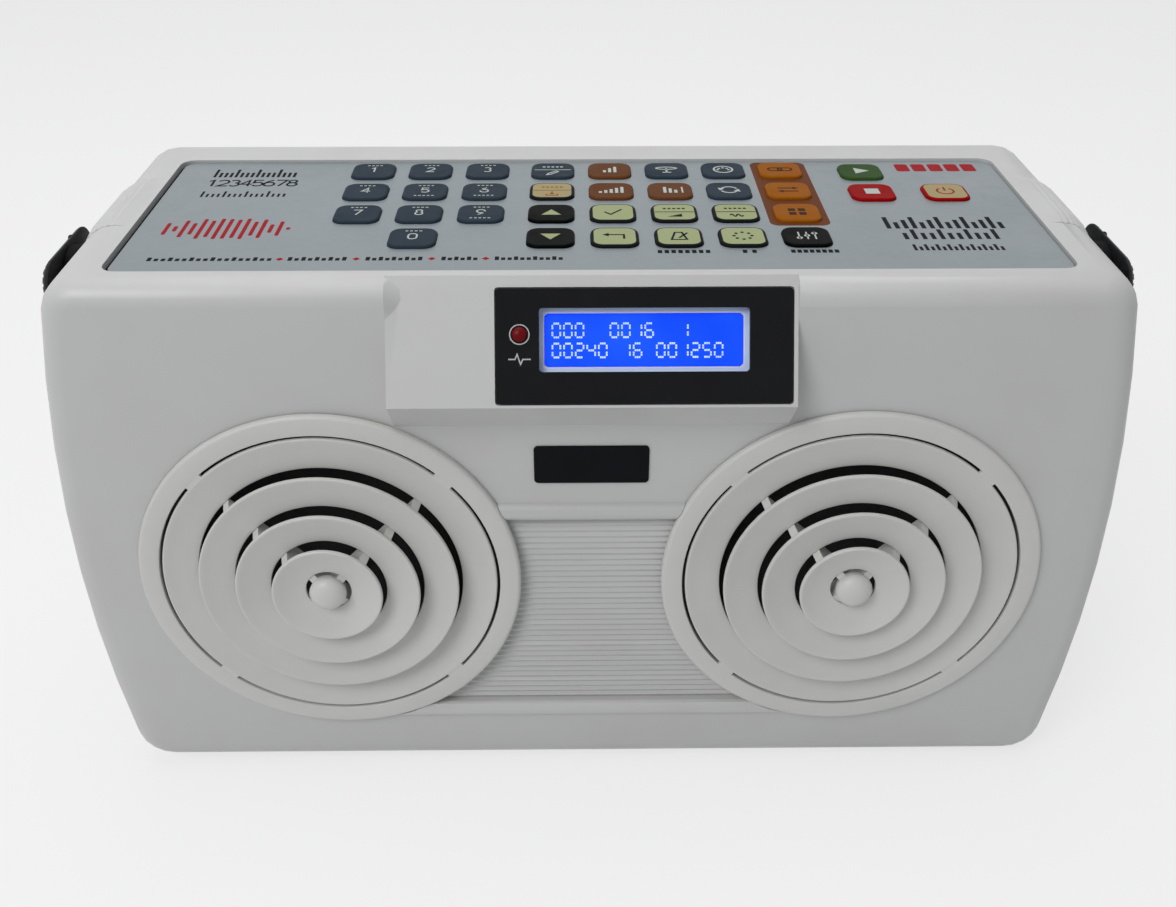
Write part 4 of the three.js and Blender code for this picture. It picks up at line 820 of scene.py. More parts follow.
LOW_BOWL = circle(0, -0.9, 1.5, 16)
DIGITS = {
    "key_0": [loop([*arc(0, 0.9, 1.5, 0, 180, 8), *arc(0, -0.9, 1.5, 180, 360, 8)])],
    "key_1": [line((-0.9, 1.5), (0.3, 2.4), (0.3, -2.4))],
    "key_2": [line(*arc(0, 0.95, 1.45, 160, -35, 9), (-1.4, -2.3), (1.5, -2.3))],
    "key_3": [line(*arc(-0.1, 1.15, 1.2, 145, -80, 9)), line(*arc(-0.1, -1.05, 1.35, 80, -145, 9))],
    "key_4": [line((0.7, -2.4), (0.7, 2.3), (-1.5, -0.9), (1.7, -0.9))],
    "key_5": [line((1.3, 2.3), (-1.1, 2.3), (-1.25, 0.2), *arc(-0.05, -0.85, 1.5, 130, -145, 9))],
    "key_6": [loop(LOW_BOWL), line((-1.45, -0.7), (-0.6, 1.2), (0.9, 2.4))],
    "key_7": [line((-1.5, 2.3), (1.5, 2.3), (-0.4, -2.4))],
    "key_8": [loop(circle(0, 1.25, 1.1, 14)), loop(circle(0, -1.1, 1.35, 14))],
    "key_9": [loop([(-x, -y) for x, y in LOW_BOWL]), line((1.45, 0.7), (0.6, -1.2), (-0.9, -2.4))],
}
WAVE = [(-3.6 + 0.3 * i, 1.7 * math.sin(2 * math.pi * i / 12)) for i in range(25)]
PICTURES = {
    "edit_key": [loop([(-3.4, -3.4), (-2.7, -1.3), (2.0, 3.4), (3.4, 2.0), (-1.3, -2.7)])],
    "store_key": [line((-3.2, -0.6), (-3.2, -3.0), (3.2, -3.0), (3.2, -0.6)), line((0, 3.2), (0, 0)),
                  area((-1.7, 0.3), (0, -1.8), (1.7, 0.3))],
    "short_fill_key": bars((2.2, 4.2, 5.8)),
    "long_fill_key": bars((1.6, 2.6, 3.6, 4.8, 5.8)),
    "ending_key": [*bars((5.6, 4.2, 2.8)), bar(4.2, -2.8, 0.6, 5.6)],
    "cymbal_key": [loop([(x, 1.4 + y / 3) for x, y in circle(0, 0, 3.7, 24)]),
                   line((0, 1.4), (0, -3.0)), line((-1.6, -3.0), (1.6, -3.0))],
    "midi_key": [loop(circle(0, 0, 3.4, 24)),
                 *[dot(x, y - 0.4, 0.55) for x, y in arc(0, 0, 2.0, 0, 180, 4)]],
    "sync_key": [line(*arc(0, 0, 2.9, 20, 150, 10)), line(*arc(0, 0, 2.9, 200, 330, 10)),
                 area((-3.9, 1.9), (-1.6, 1.0), (-3.3, -0.6)), area((3.9, -1.9), (1.6, -1.0), (3.3, 0.6))],
    "chain_key": [loop(rounded(5.0, 3.0, 1.4, -1.8, 0, 4)), loop(rounded(5.0, 3.0, 1.4, 1.8, 0, 4))],
    "chain_change_key": [line((-3.4, 1.5), (2.0, 1.5)), area((1.8, 0.3), (3.8, 1.5), (1.8, 2.7)),
                         line((3.4, -1.5), (-2.0, -1.5)), area((-1.8, -2.7), (-1.8, -0.3), (-3.8, -1.5))],
    "group_key": [bar(x, y, 2.4, 2.4) for x in (-1.7, 1.7) for y in (-2.9, 0.5)],
    "start_key": [area((-2.2, -2.9), (3.1, 0), (-2.2, 2.9))],
    "stop_key": [bar(0, -2.5, 5.0, 5.0)],
    "power_key": [line(*arc(0, 0, 2.9, 125, 415, 20)), line((0, 0.3), (0, 3.7))],
    "up_key": [area((-3.3, -2.2), (3.3, -2.2), (0, 2.6))],
    "down_key": [area((3.3, 2.2), (-3.3, 2.2), (0, -2.6))],
    "ok_key": [line((-2.8, 0.2), (-0.8, -2.1), (3.0, 2.5))],
    "back_key": [line((3.0, -2.2), (3.0, 1.2), (-2.0, 1.2)), area((-1.9, 2.6), (-3.9, 1.2), (-1.9, -0.2))],
    "volume_key": [area((-4.0, -1.8), (4.0, -1.8), (4.0, 2.4))],
    "pitch_key": [line(*WAVE)],
    "tempo_key": [loop([(-2.5, -3.0), (2.5, -3.0), (1.1, 3.0), (-1.1, 3.0)]), line((0, -1.6), (2.9, 2.6))],
    "cycle_key": [dot(x, y, 0.6) for x, y in arc(0, 0, 2.9, 0, 315, 7)],
    "mode_key": [mark for x in (-2.6, 0.0, 2.6) for mark in (bar(x, -3.0, 0.5, 6.0), dot(x, 0.7 * x, 1.0))],
}
SPLIT_KEYS = ("edit_key", "store_key", "volume_key", "pitch_key")

# Where a key's prints lie: the rows of dashes above and below its sign, and the line across a split key
UPPER_ROW = ticks(4, 4.6)
LOWER_ROW = ticks(5, -5.2)
LOWER_ROW_KEYS = ("key_5", "key_6", "key_9")
SPLIT_ROW = ticks(5, 2.6, 1.0, 1.6, 1.0)
SPLIT_LINE = [line((-6.6, 0), (6.6, 0))]
SPLIT_WIDTH = 0.45
DIGIT_PRINT = {"width": 0.62, "size": 0.92, "y": 0.4}
SPLIT_PRINT = {"width": 1.0, "size": 0.6, "y": -3.2}

KEY_SIZE = (15.5, 15.5)
KEY_CORNER = 4.0
KEY_CROWN = ((0.0, 0.62), (0.1, 0.34), (0.34, 0.10), (0.7, 0.0))
KEY_RIM = 0.3
BLOCK_KEYS = ("chain_key", "chain_change_key", "group_key")
KEYS = [*DIGITS, *PICTURES]
FACE, RIM, MARK = range(3)

# A key's slot, its face, the rim of its face and its print
KEY_LOOKS = {
    "store_key": ("key_cream", KEY_CREAM, INK_DARK, INK_OCHRE),
    "power_key": ("key_cream", KEY_CREAM, KEY_RED, INK_RED),
    "start_key": ("key_green", KEY_GREEN, KEY_GREEN, INK_PALE),
    "stop_key": ("key_red", KEY_RED, KEY_RED, INK_PALE),
    "mode_key": ("key_black", KEY_BLACK, KEY_BLACK, INK_PALE),
}
for keys, look in (
    (("ok_key", "back_key", "volume_key", "tempo_key", "pitch_key", "cycle_key"),
     ("key_pale_green", KEY_GREEN_PALE, INK_DARK, INK_DARK)),
    (("short_fill_key", "long_fill_key", "ending_key"), ("key_brown", KEY_BROWN, KEY_BROWN, INK_PALE)),
    (BLOCK_KEYS, ("key_orange", KEY_ORANGE, KEY_ORANGE, INK_BROWN)),
    (("up_key", "down_key"), ("key_black", KEY_BLACK, KEY_BLACK, KEY_GREEN_PALE)),
):
    for key in keys:
        KEY_LOOKS[key] = look


def key_cap(node):
    slot, *paints = KEY_LOOKS.get(node, ("key_slate", KEY_SLATE, KEY_SLATE, INK_PALE))
    low, high = box_mm(node)
    place = at(*top_middle(node))
    bm = bmesh.new()
    levels = [(0.0, high.z - low.z), *KEY_CROWN, (KEY_CROWN[-1][0] + KEY_RIM, 0.0)]
    rings = [(inset_outline(KEY_SIZE, KEY_CORNER, inset), -drop) for inset, drop in levels]
    skin(bm, rings, place, (RIM, RIM, RIM, RIM, RIM, FACE))
    if node in DIGITS:
        print_marks(bm, DIGITS[node], place, MARK, **DIGIT_PRINT)
        print_marks(bm, UPPER_ROW, place, MARK)
        if node in LOWER_ROW_KEYS:
            print_marks(bm, LOWER_ROW, place, MARK)
    elif node in SPLIT_KEYS:
        print_marks(bm, SPLIT_LINE, place, MARK, SPLIT_WIDTH)
        print_marks(bm, PICTURES[node], place, MARK, **SPLIT_PRINT)
        print_marks(bm, SPLIT_ROW, place, MARK)
    else:
        print_marks(bm, PICTURES[node], place, MARK)
    piece(f"{node}_cap", bm, paints, (node,), node)


for key in KEYS:
    key_cap(key)


# Key panel film, its prints and the painted shade in the gap round it
PANEL_CORNER = 5.0
FILM_SHIFT = 0.5
KEY_GAP = 0.12
# The black sheet of painted shade under the film's edge: its reach past the film, its band and its levels
GAP_SHADE_OUT = (1.7, 0.4)
GAP_SHADE_BAND = 3.0
GAP_SHADE_LEVELS = (-0.25, -0.05)
BLOCK_MARGIN = 2.3
BLOCK_CORNER = 3.0

# Rows of upright marks: foot, width, heights in turn, and each stretch's first and last place and count
MARK_ROWS = (
    (22.4, 1.0, (8.0, 4.6, 4.6, 4.6), ((-135.0, -106.4, 16),)),
    (2.4, 0.8, (5.4, 3.0, 3.0, 3.0), ((-135.0, -106.4, 16),)),
    (-28.6, 1.5, (10.0, 5.4, 7.4), ((98.5, 136.0, 14),)),
    (-37.8, 1.4, (5.2, 8.2, 5.2), ((102.4, 131.8, 11),)),
    (-47.0, 1.0, (4.8, 3.0), ((103.2, 131.0, 16),)),
    (-53.6, 1.3, (2.7, 1.9, 1.9), ((-137.5, -100.2, 18), (-29.4, -9.5, 11))),
    (-53.6, 1.3, (2.7, 1.9), ((-93.8, -76.9, 9), (-69.6, -53.3, 9), (-46.0, -36.1, 6))),
    (-48.6, 1.4, (2.4,), ((21.8, 37.0, 8), (48.7, 51.7, 2), (64.0, 77.8, 8))),
)
DIAMONDS = (-97.0, -73.2, -49.7, -32.9)
DIAMOND_UP = -52.4
DIAMOND_RADIUS = 1.2
COUNT_ROW = {"first": -134.4, "pitch": 4.1, "count": 8, "up": 16.2, "size": 1.25, "line": 0.65}
WAVE_ROW = {"first": -139.0, "pitch": 2.85, "count": 15, "up": -27.0, "width": 1.3,
            "low": 6.0, "swell": 11.0, "ripple": 4.0, "corner": 0.6}
RED_BLOCKS = {"first": 115.6, "pitch": 6.1, "count": 5, "up": 30.6, "size": (4.9, 7.6, 1.0)}


def spaced(row):
    """The places along X of a row of prints."""
    return [row["first"] + row["pitch"] * i for i in range(row["count"])]


def key_hole(node, origin):
    middle = top_middle(node) - origin
    return inset_outline(KEY_SIZE, KEY_CORNER, -KEY_GAP, middle.x, middle.y)


def panel_film(middle, wide, deep, thick):
    bm = bmesh.new()
    film = rounded(wide, deep, PANEL_CORNER, FILM_SHIFT, 0, 8)
    plate(bm, film, [key_hole(node, middle) for node in KEYS], -thick, 0, at(*middle), 0, EDGE)
    piece("key_panel_film", bm, [PANEL_FILM], ("keypad_panel",))


def panel_gap_shade(middle, wide, deep, thick):
    """A black sheet under the film's edge: painted shade in the gap round the film."""
    bm = bmesh.new()
    outer = rounded(wide + GAP_SHADE_OUT[0], deep + GAP_SHADE_OUT[1], PANEL_CORNER)
    opening = inset_outline((wide, deep), PANEL_CORNER, GAP_SHADE_BAND)
    plate(bm, outer, [opening], *GAP_SHADE_LEVELS, at(*middle) @ at(0, 0, -thick))
    piece("panel_gap_shade", bm, [WASHER_BLACK_AND_GAP_SHADE])


def panel_prints(face):
    """The film's prints: the block round three keys, rows of marks, diamonds, figures and blocks."""
    bm = bmesh.new()
    first, last = top_middle(BLOCK_KEYS[0]), top_middle(BLOCK_KEYS[-1])
    size = KEY_SIZE[0] + 2 * BLOCK_MARGIN
    block = rounded(size, first.y - last.y + size, BLOCK_CORNER, first.x, (first.y + last.y) / 2)
    holes = [key_hole(node, Vector()) for node in BLOCK_KEYS]
    plate(bm, block, holes, PRINT_ROOT, PRINT, face, 2)
    for foot_line, width, heights, stretches in MARK_ROWS:
        for near, far, count in stretches:
            for i in range(count):
                x = near + (far - near) * i / (count - 1)
                print_marks(bm, [bar(x, foot_line, width, heights[i % len(heights)])], face, 0)
    for x in DIAMONDS:
        print_marks(bm, [area(*circle(x, DIAMOND_UP, DIAMOND_RADIUS, 4))], face, 1)
    for i, x in enumerate(spaced(COUNT_ROW)):
        digit = DIGITS[f"key_{i + 1}"]
        print_marks(bm, digit, face, 0, COUNT_ROW["line"], COUNT_ROW["size"], x, COUNT_ROW["up"])
    for i, x in enumerate(spaced(WAVE_ROW)):
        share = math.pi * i / (WAVE_ROW["count"] - 1)
        swell = WAVE_ROW["swell"] * math.sin(share)
        tall = WAVE_ROW["low"] + swell + WAVE_ROW["ripple"] * math.cos(WAVE_ROW["count"] * share)
        mark = rounded(WAVE_ROW["width"], tall, WAVE_ROW["corner"], x, WAVE_ROW["up"], 3)
        print_marks(bm, [area(*mark)], face, 1)
    for x in spaced(RED_BLOCKS):
        print_marks(bm, [area(*rounded(*RED_BLOCKS["size"], x, RED_BLOCKS["up"], 3))], face, 1)
    piece("key_panel_prints", bm, [INK_DARK, INK_RED, INK_BLOCK])


def key_panel():
    low, high = box_mm("keypad_panel")
    size = high - low
    panel_film(top_middle("keypad_panel"), *size)
    panel_gap_shade(top_middle("keypad_panel"), *size)
    panel_prints(at(0, 0, high.z))


key_panel()
paint_node("keypad_board", BOARD_GREEN)


# The bare plate on the front
PLATE_SIZE = (37.3, 14.0)
PLATE_UP = 134.6
PLATE_CORNER = 1.4
PLATE_LEVELS = (-0.2, 0.7)
PLATE_EDGE = 0.25


def front_plate():
    bm = bmesh.new()
    place = at(0, FRONT_FACE, PLATE_UP) @ FRONT_TURN
    plate(bm, rounded(*PLATE_SIZE, PLATE_CORNER), [], *PLATE_LEVELS, place, 0, PLATE_EDGE)
    piece("front_plate", bm, [PLATE_BLACK])


front_plate()


# Carrying strap, its padded heads and its anchors
STRAP_PIVOT = node_middle("left_strap_anchor")
STRAP_SLOPE = -41.0
STRAP_RECESS = 4.1
STRAP_CLEAR = 1.0
BODY_HALF = box_mm("main_housing")[1].x
STRAP_NEAR = BODY_HALF - STRAP_RECESS + ROUND
STRAP_FAR = BODY_HALF + STRAP_CLEAR
STRAP_LENGTH = 135.5
BAND_WIDTH = 26.0
BAND_THICKNESS = 2.0
BAND_CORNER = 0.8
BAND_START = -2
BAND_STRAIGHT = 14
BAND_SPREAD = 46
BAND_REACHES = (7, 12, 17)
HEAD_SIZE = (22.0, 44.0)
HEAD_CORNER = 9.0
HEAD_UNDERCUT = 0.5
HEAD_LIP = 0.35
HEAD_PROUD = 3.4
HEAD_INSET = 6.5
STITCH_INSET = 2.4
STITCH_PITCH = 3.0
STITCH_LENGTH = 1.9
STITCH_WIDTH = 0.5
STITCH_LEVELS = (2.4, 2.84)
ANCHOR_STEM = 3.0
ANCHOR_ROOT = 8.0
ANCHOR_FLAT = 5.7
ANCHOR_EDGE = 0.8
ANCHOR_RISE = 0.4
ANCHOR_CROWN = 1.4
BOSS_RADIUS = 9.5
WASHER_HOLE = 3.6
WASHER_BACK = 6.0
WASHER_SKIN = 0.12
WASHER_LAPS = (0.05, 0.1, 0.3)
WASHER_BEVEL = 0.2


def eased(points, reaches):
    """Straight stretches whose inner corners are eased by short curves, each with its own reach."""
    made = [Vector(points[0])]
    for before, here, after, reach in zip(points, points[1:], points[2:], reaches):
        before, here, after = Vector(before), Vector(here), Vector(after)
        start = here + (before - here).normalized() * reach
        end = here + (after - here).normalized() * reach
        made += curve(start, here, end, 6)
    return [*made, Vector(points[-1])]


def band_path():
    """The band's middle line, from one anchor round the back to the other."""
    out = BAND_THICKNESS / 2 + 0.1
    near, far, back = STRAP_NEAR + out, STRAP_FAR + out, STRAP_LENGTH + out
    corners = [(near, BAND_START), (near, BAND_STRAIGHT), (far, BAND_SPREAD), (far, back), (0, back)]
    half = eased(corners, BAND_REACHES)
    return half + [Vector((-p.x, p.y)) for p in reversed(half[:-1])]


def strap_band():
    """The woven band: a flat section swept along its path, with its weave laid out in millimetres."""
    bm = bmesh.new()
    weave = bm.loops.layers.uv.new("weave")
    path = band_path()
    place = at(0, STRAP_PIVOT.y, STRAP_PIVOT.z) @ rotation(STRAP_SLOPE, "X")
    section = rounded(BAND_THICKNESS, BAND_WIDTH, BAND_CORNER, count=3)
    girth = [0.0]
    for a, b in zip(section, section[1:] + section[:1]):
        girth.append(girth[-1] + math.dist(a, b))
    rows, runs = [], [0.0]
    for i, here in enumerate(path):
        after = path[min(i + 1, len(path) - 1)]
        along = (after - path[max(i - 1, 0)]).normalized()
        side = Vector((along.y, -along.x))
        spots = [(here + side * across, level) for across, level in section]
        rows.append([bm.verts.new(place @ Vector((p.x, p.y, level))) for p, level in spots])
        runs.append(runs[-1] + (after - here).length)
    for i, (low, high) in enumerate(zip(rows, rows[1:])):
        for j in range(len(section)):
            k = (j + 1) % len(section)
            face = bm.faces.new((low[j], low[k], high[k], high[j]))
            spots = ((i, j), (i, j + 1), (i + 1, j + 1), (i + 1, j))
            for corner, (run, turn) in zip(face.loops, spots):
                corner[weave].uv = (runs[run], girth[turn])
    bm.faces.new(list(reversed(rows[0])))
    bm.faces.new(rows[-1])
    piece("strap_band", bm, [STRAP_WEAVE], ("carrying_strap",), "strap", 50)


def pivot_place(side):
    """A view along X from outside at the strap's pivot."""
    return at(0, STRAP_PIVOT.y, STRAP_PIVOT.z) @ rotation(side * 90, "Y")


def stitches(bm, seam, place, paint):
    """Short raised threads at an even pitch along a closed seam."""
    run, due = 0.0, 0.0
    for a, b in zip(seam, seam[1:] + seam[:1]):
        a, b = Vector(a), Vector(b)
        length = (b - a).length
        while length and due < run + length:
            middle = a + (b - a) * (due - run) / length
            along = (b - a).normalized() * STITCH_LENGTH / 2
            stroke(bm, [middle - along, middle + along], STITCH_WIDTH, *STITCH_LEVELS, place, paint)
            due += STITCH_PITCH
        run += length


def strap_head(name, side):
    bm = bmesh.new()
    place = pivot_place(side) @ at(0, 0, STRAP_NEAR)
    rings = [(inset_outline(HEAD_SIZE, HEAD_CORNER, HEAD_UNDERCUT), 0.0)]
    for degrees in (0, 15, 30, 45, 60, 75, 90):
        inset = HEAD_INSET * (1 - math.cos(math.radians(degrees)))
        level = HEAD_LIP + (HEAD_PROUD - HEAD_LIP) * math.sin(math.radians(degrees))
        rings.append((inset_outline(HEAD_SIZE, HEAD_CORNER, inset), level))
    skin(bm, rings, place, (0,))
    stitches(bm, inset_outline(HEAD_SIZE, HEAD_CORNER, STITCH_INSET), place, 1)
    piece(name, bm, [STRAP_LEATHER, STRAP_THREAD], (), "strap", 50)


def strap_anchor(name, node, side):
    bm = bmesh.new()
    root = STRAP_NEAR - ANCHOR_ROOT
    cap = STRAP_NEAR + HEAD_PROUD + ROUND
    edge = arc(ANCHOR_FLAT, cap + ANCHOR_RISE, ANCHOR_EDGE, 0, 90, 6)
    stem = [(0, root), (ANCHOR_STEM, root), (ANCHOR_STEM, cap), (ANCHOR_FLAT + ANCHOR_EDGE, cap)]
    crown = [(ANCHOR_STEM, cap + ANCHOR_CROWN - 0.04), (0, cap + ANCHOR_CROWN)]
    turned(bm, [*stem, *edge, *crown], pivot_place(side))
    piece(name, bm, [ANCHOR_GLOSS], (node,))


def strap_washer(name, side):
    """A black sleeve over the boss that a strap head turns on."""
    bm = bmesh.new()
    face = STRAP_NEAR - WASHER_SKIN
    under, back = face - WASHER_SKIN, face - WASHER_BACK
    inner, rim, outer = (BOSS_RADIUS + lap for lap in WASHER_LAPS)
    profile = [(WASHER_HOLE, under), (WASHER_HOLE, face), (rim, face), (outer, face - WASHER_BEVEL),
               (outer, back), (inner, back), (inner, under)]
    turned(bm, profile, pivot_place(side), count=FINE, closed=True)
    piece(name, bm, [WASHER_BLACK_AND_GAP_SHADE])


strap_band()
for word, side in (("left", -1), ("right", 1)):
    strap_head(f"{word}_strap_head", side)
    strap_anchor(f"{word}_anchor_cap", f"{word}_strap_anchor", side)
    strap_washer(f"{word}_strap_washer", side)


# Sockets, screws and feet
def rear_place(node):
    """A node's place on the rear cover's face, with local z away from the case."""
    middle = node_middle(node)
    return at(middle.x, COVER_FACE, middle.z) @ BACK_TURN


SCREW_RADIUS = 3.0
SCREW_SIDES = 24
SCREW_LEVELS = (-0.2, 0.2, 0.1, 1.1)
SCREW_EDGE = 0.4
CROSS = ((0.35, 0.35), (0.35, 0.6), (-0.35, 0.6), (-0.35, 0.35), (-0.6, 0.35), (-0.6, -0.35),
         (-0.35, -0.35), (-0.35, -0.6), (0.35, -0.6), (0.35, -0.35), (0.6, -0.35), (0.6, 0.35))

# Share of the cover's half width, and distance from its lower and upper edge
COVER_SCREWS = ((0.87, 8.0), (0.33, 7.0))


def screw_head(bm, place, radius, paint=0):
    """A pan head with a cross recess."""
    recess = [(x * radius, y * radius) for x, y in CROSS]
    foot, shoulder = SCREW_LEVELS[:2]
    turned(bm, [(0, foot), (radius, foot), (radius, shoulder), (0, shoulder)], place, paint, SCREW_SIDES)
    plate(bm, circle(0, 0, radius, SCREW_SIDES), [recess], *SCREW_LEVELS[2:], place, paint, SCREW_EDGE)


def cover_screws():
    bm = bmesh.new()
    low, high = box_mm("rear_cover")
    for share, inset in COVER_SCREWS:
        for side in (-1, 1):
            for level in (low.z + inset, high.z - inset):
                screw_head(bm, at(side * share * high.x, COVER_FACE, level) @ BACK_TURN, SCREW_RADIUS)
    piece("cover_screws", bm, [SCREW_METAL])


# Levels are above the cover's face, radii from the socket's axis.
DIN = {"flange": 11.0, "brim": 0.6, "seat": 0.3, "barrel": 8.8, "face": 1.7, "shell": 6.9, "core": 5.6,
       "core_face": 0.3, "floor": -6.3, "depth": 15.0, "pin": 0.8, "pins": 3.5}
# The metal lining's gaps inside the shell, outer and inner, and its front level
DIN_METAL = (0.05, 0.45, 0.9)
# Width, height and middle of the key over the core
DIN_KEY = (1.6, 1.2, 0.0, 5.9)


def din_socket(node):
    bm = bmesh.new()
    place = rear_place(node)
    brim = arc(DIN["flange"] - DIN["brim"], DIN["face"] - DIN["brim"], DIN["brim"], 0, 90, 5)
    body = [(0, -DIN["depth"]), (DIN["barrel"], -DIN["depth"]), (DIN["barrel"], DIN["seat"]),
            (DIN["flange"], DIN["seat"]), *brim, (DIN["shell"] + ROUND, DIN["face"]),
            (DIN["shell"], DIN["face"] - ROUND), (DIN["shell"], DIN["floor"]), (0, DIN["floor"])]
    turned(bm, body, place)
    holes = [circle(x, y, DIN["pin"], 12) for x, y in arc(0, 0, DIN["pins"], 180, 360, 4)]
    plate(bm, circle(0, 0, DIN["core"], 40), holes, DIN["floor"], DIN["core_face"], place, 0, EDGE)
    outer, inner = (DIN["shell"] - gap for gap in DIN_METAL[:2])
    shell = [(inner, DIN["floor"]), (outer, DIN["floor"]), (outer, DIN_METAL[2]), (inner, DIN_METAL[2])]
    turned(bm, shell, place, 1, closed=True)
    plate(bm, rectangle(*DIN_KEY), [], DIN["floor"], 0.2, place, 0)
    piece(f"{node}_body", bm, [BLACK_MOULDED, PIN_METAL], (node,))


# Radius and level round the jack's axis
JACK_BODY = ((0, -26), (5.6, -26), (5.6, 0.3), (8.0, 0.3), (8.0, 1.2), (7.6, 1.5),
             (3.2, 1.5), (3.2, -19.7), (0, -19.7))
JACK_NUT = ((3.25, 1.4), (6.4, 1.4), (6.6, 1.6), (6.6, 2.1), (6.3, 2.3), (3.6, 2.3), (3.25, 2.0))
JACK_NOTCH = rounded(1.4, 1.0, 0.3, 5.4, 0, 3)
JACK_NOTCH_LEVELS = (2.28, 2.34)


def line_out_jack():
    bm = bmesh.new()
    place = rear_place("line_out_jack")
    turned(bm, JACK_BODY, place)
    turned(bm, JACK_NUT, place, 1, closed=True)
    for turn in range(4):
        plate(bm, JACK_NOTCH, [], *JACK_NOTCH_LEVELS, place @ rotation(90 * turn + 45, "Z"), 0)
    piece("line_out_socket", bm, [BLACK_MOULDED, PIN_METAL], ("line_out_jack",))


INLET_MOUTH = (16.0, 8.8, 4.39)
INLET_FLANGE = (28.0, 19.0, 1.6)
INLET_BODY = (22.0, 13.0, 1.0)
INLET_LEVELS = (0.3, 1.9)
INLET_FLOOR = -11.1
INLET_BACK = -20.0
INLET_PINS = 4.3
PIN_RADIUS = 1.2
PIN_TIP = 0.5
PIN_LEVELS = (-12, -0.1)


def mains_inlet():
    bm = bmesh.new()
    place = rear_place("mains_inlet")
    mouth = rounded(*INLET_MOUTH)
    plate(bm, rounded(*INLET_FLANGE), [mouth], *INLET_LEVELS, place, 0, 0.4)
    plate(bm, rounded(*INLET_BODY), [mouth], INLET_FLOOR, INLET_LEVELS[0] + 0.05, place, 0)
    plate(bm, rounded(*INLET_BODY), [], INLET_BACK, INLET_FLOOR + 0.05, place, 0)
    back, front = PIN_LEVELS
    tip = arc(PIN_RADIUS - PIN_TIP, front - PIN_TIP, PIN_TIP, 0, 90, 4)
    pin = [(0, back), (PIN_RADIUS, back), *tip, (0, front)]
    for side in (-1, 1):
        turned(bm, pin, place @ at(side * INLET_PINS, 0, 0), 1, 20)
    piece("mains_inlet_body", bm, [BLACK_MOULDED, PIN_METAL], ("mains_inlet",))


# Radius and level, from the screw's seat outwards and up to the stem
FOOT_PROFILE = ((0, 1.4), (3.2, 1.4), (3.4, 0.3), (3.8, 0.0), (8.4, 0.0), (9.0, 0.5),
                (9.9, 2.3), (9.7, 2.7), (3, 2.7), (3, 4.6), (0, 4.6))
FOOT_SCREW = 2.6
FOOT_SCREW_LEVEL = 1.3


def foot(node):
    bm = bmesh.new()
    middle = node_middle(node)
    place = at(middle.x, middle.y, 0)
    turned(bm, FOOT_PROFILE, place)
    screw_head(bm, place @ at(0, 0, FOOT_SCREW_LEVEL) @ rotation(180, "X"), FOOT_SCREW, 1)
    piece(f"{node}_pad", bm, [FOOT_RUBBER, SCREW_METAL], (node,))


cover_screws()
for node in ("midi_out_socket", "midi_in_socket"):
    din_socket(node)
line_out_jack()
mains_inlet()
for node in ("front_left_foot", "front_right_foot", "back_left_foot", "back_right_foot"):
    foot(node)
for side in ("left", "right"):
    paint_node(f"{side}_speaker_cone", CONE_PAPER)
    paint_node(f"{side}_speaker_basket", BASKET_PAINT)
paint_node("main_board", BOARD_GREEN)
paint_node("power_supply_board", BOARD_GREEN)


# Stage and light. Lamps are in metres and watts, the floor is in millimetres.
PAPER = (0.84, 0.84, 0.84, 1)
PAPER_GLOW = (0.93, 0.93, 0.93, 1)
GLOW_SHARE = 0.75
SKY = (0.93, 0.97, 1.0, 1)
SKY_STRENGTH = 0.3
LAMP_SIZE = 1.2
LAMP_TARGET = Vector((0, 0, 0.1))
LAMPS = {"overhead": ((-0.1, 0.2, 1.3), 7.5), "key": ((-1.15, -1.5, 1.85), 28.0)}
FLOOR = {"size": 9000, "corner": 4000, "back": 2500, "thickness": 4.0}


def seen_directly(tree, *rays):
    """A mask for the kinds of rays that see a surface or the sky, apart from those that light the scene."""
    path = tree.nodes.new("ShaderNodeLightPath")
    mask = path.outputs["Is Camera Ray"]
    for ray in rays:
        mask = calc(tree, "MAXIMUM", mask, path.outputs[ray])
    return mask


def mixed_shader(tree, share, first, second, target):
    mix = new_node(tree, "ShaderNodeMixShader", Fac=share)
    wire(tree, first.outputs[0], mix.inputs[1])
    wire(tree, second.outputs[0], mix.inputs[2])
    give(tree, target, Surface=mix.outputs[0])


def sky():
    world = bpy.data.worlds.new("studio")
    bpy.context.scene.world = world
    world.use_nodes = True
    tree = world.node_tree
    tree.nodes.clear()
    out = tree.nodes.new("ShaderNodeOutputWorld")
    seen = new_node(tree, "ShaderNodeBackground", Color=PAPER)
    light = new_node(tree, "ShaderNodeBackground", Color=SKY, Strength=SKY_STRENGTH)
    mixed_shader(tree, seen_directly(tree, "Is Glossy Ray", "Is Transmission Ray"), light, seen, out)


def studio_lamp(name, place, power):
    lamp = bpy.data.lights.new(name, "AREA")
    lamp.shape = "DISK"
    lamp.size = LAMP_SIZE
    lamp.energy = power
    holder = bpy.data.objects.new(name, lamp)
    holder.location = place
    holder.rotation_euler = (LAMP_TARGET - Vector(place)).to_track_quat("-Z", "Y").to_euler()
    link(holder)


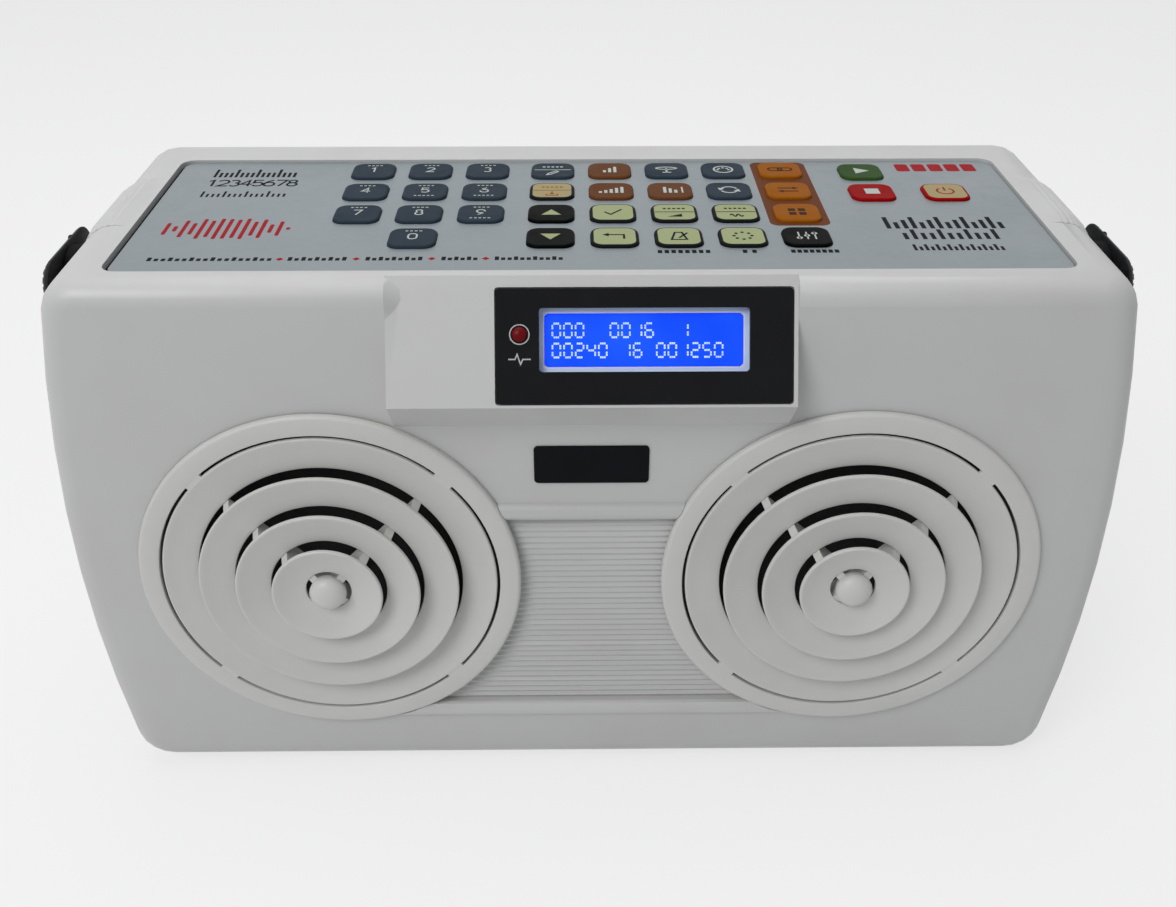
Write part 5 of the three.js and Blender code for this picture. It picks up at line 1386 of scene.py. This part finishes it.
def paper_floor():
    """A white sheet that shines a little by itself where it is looked at."""
    bm = bmesh.new()
    sheet = rounded(FLOOR["size"], FLOOR["size"], FLOOR["corner"], 0, FLOOR["back"], 24)
    plate(bm, sheet, [], -FLOOR["thickness"], 0.0, Matrix.Identity(4))
    floor = bpy.data.objects.new("studio_floor", finish_mesh(bm, "studio_floor", 35))
    link(floor)
    paint, tree, shader = blank("floor_paper", 0.9, Specular_IOR_Level=0.0, Base_Color=PAPER)
    glow = new_node(tree, "ShaderNodeEmission", Color=PAPER_GLOW)
    share = calc(tree, "MULTIPLY", seen_directly(tree, "Is Glossy Ray"), GLOW_SHARE)
    mixed_shader(tree, share, shader, glow, tree.nodes["Material Output"])
    floor.data.materials.append(paint)


# Turns are in radians; the place is in millimetres, with Y from the grilles' flanges.
CAMERA_PITCH = 0.5550278
CAMERA_YAW = 0.0124592
CAMERA_ROLL = 0.0016120
CAMERA_PLACE = Vector((-5.478, -345.449, 354.387))
CAMERA_LENS = 38.90
CAMERA_SENSOR = 36.0


def photo_camera():
    """The camera that the photograph was taken with: place, turn and lens."""
    level = Vector((math.sin(CAMERA_YAW), math.cos(CAMERA_YAW), 0)) * math.cos(CAMERA_PITCH)
    ahead = level - Vector((0, 0, math.sin(CAMERA_PITCH)))
    right = Vector((math.cos(CAMERA_YAW), -math.sin(CAMERA_YAW), 0))
    up = right.cross(ahead)
    side = right * math.cos(CAMERA_ROLL) + up * math.sin(CAMERA_ROLL)
    top = up * math.cos(CAMERA_ROLL) - right * math.sin(CAMERA_ROLL)
    lens = bpy.data.cameras.new("photo_camera")
    lens.sensor_fit = "HORIZONTAL"
    lens.sensor_width = CAMERA_SENSOR
    lens.lens = CAMERA_LENS
    lens.clip_start = 0.02
    camera = bpy.data.objects.new("photo_camera", lens)
    turn = Matrix((side, top, -ahead)).transposed().to_4x4()
    place = (CAMERA_PLACE + Vector((0, FLANGE_FACE, 0))) * MM
    camera.matrix_world = at(*place) @ turn
    link(camera)
    bpy.context.scene.camera = camera


sky()
for name, (place, power) in LAMPS.items():
    studio_lamp(name, place, power)
paper_floor()
photo_camera()
bpy.context.scene.view_settings.view_transform = "Standard"
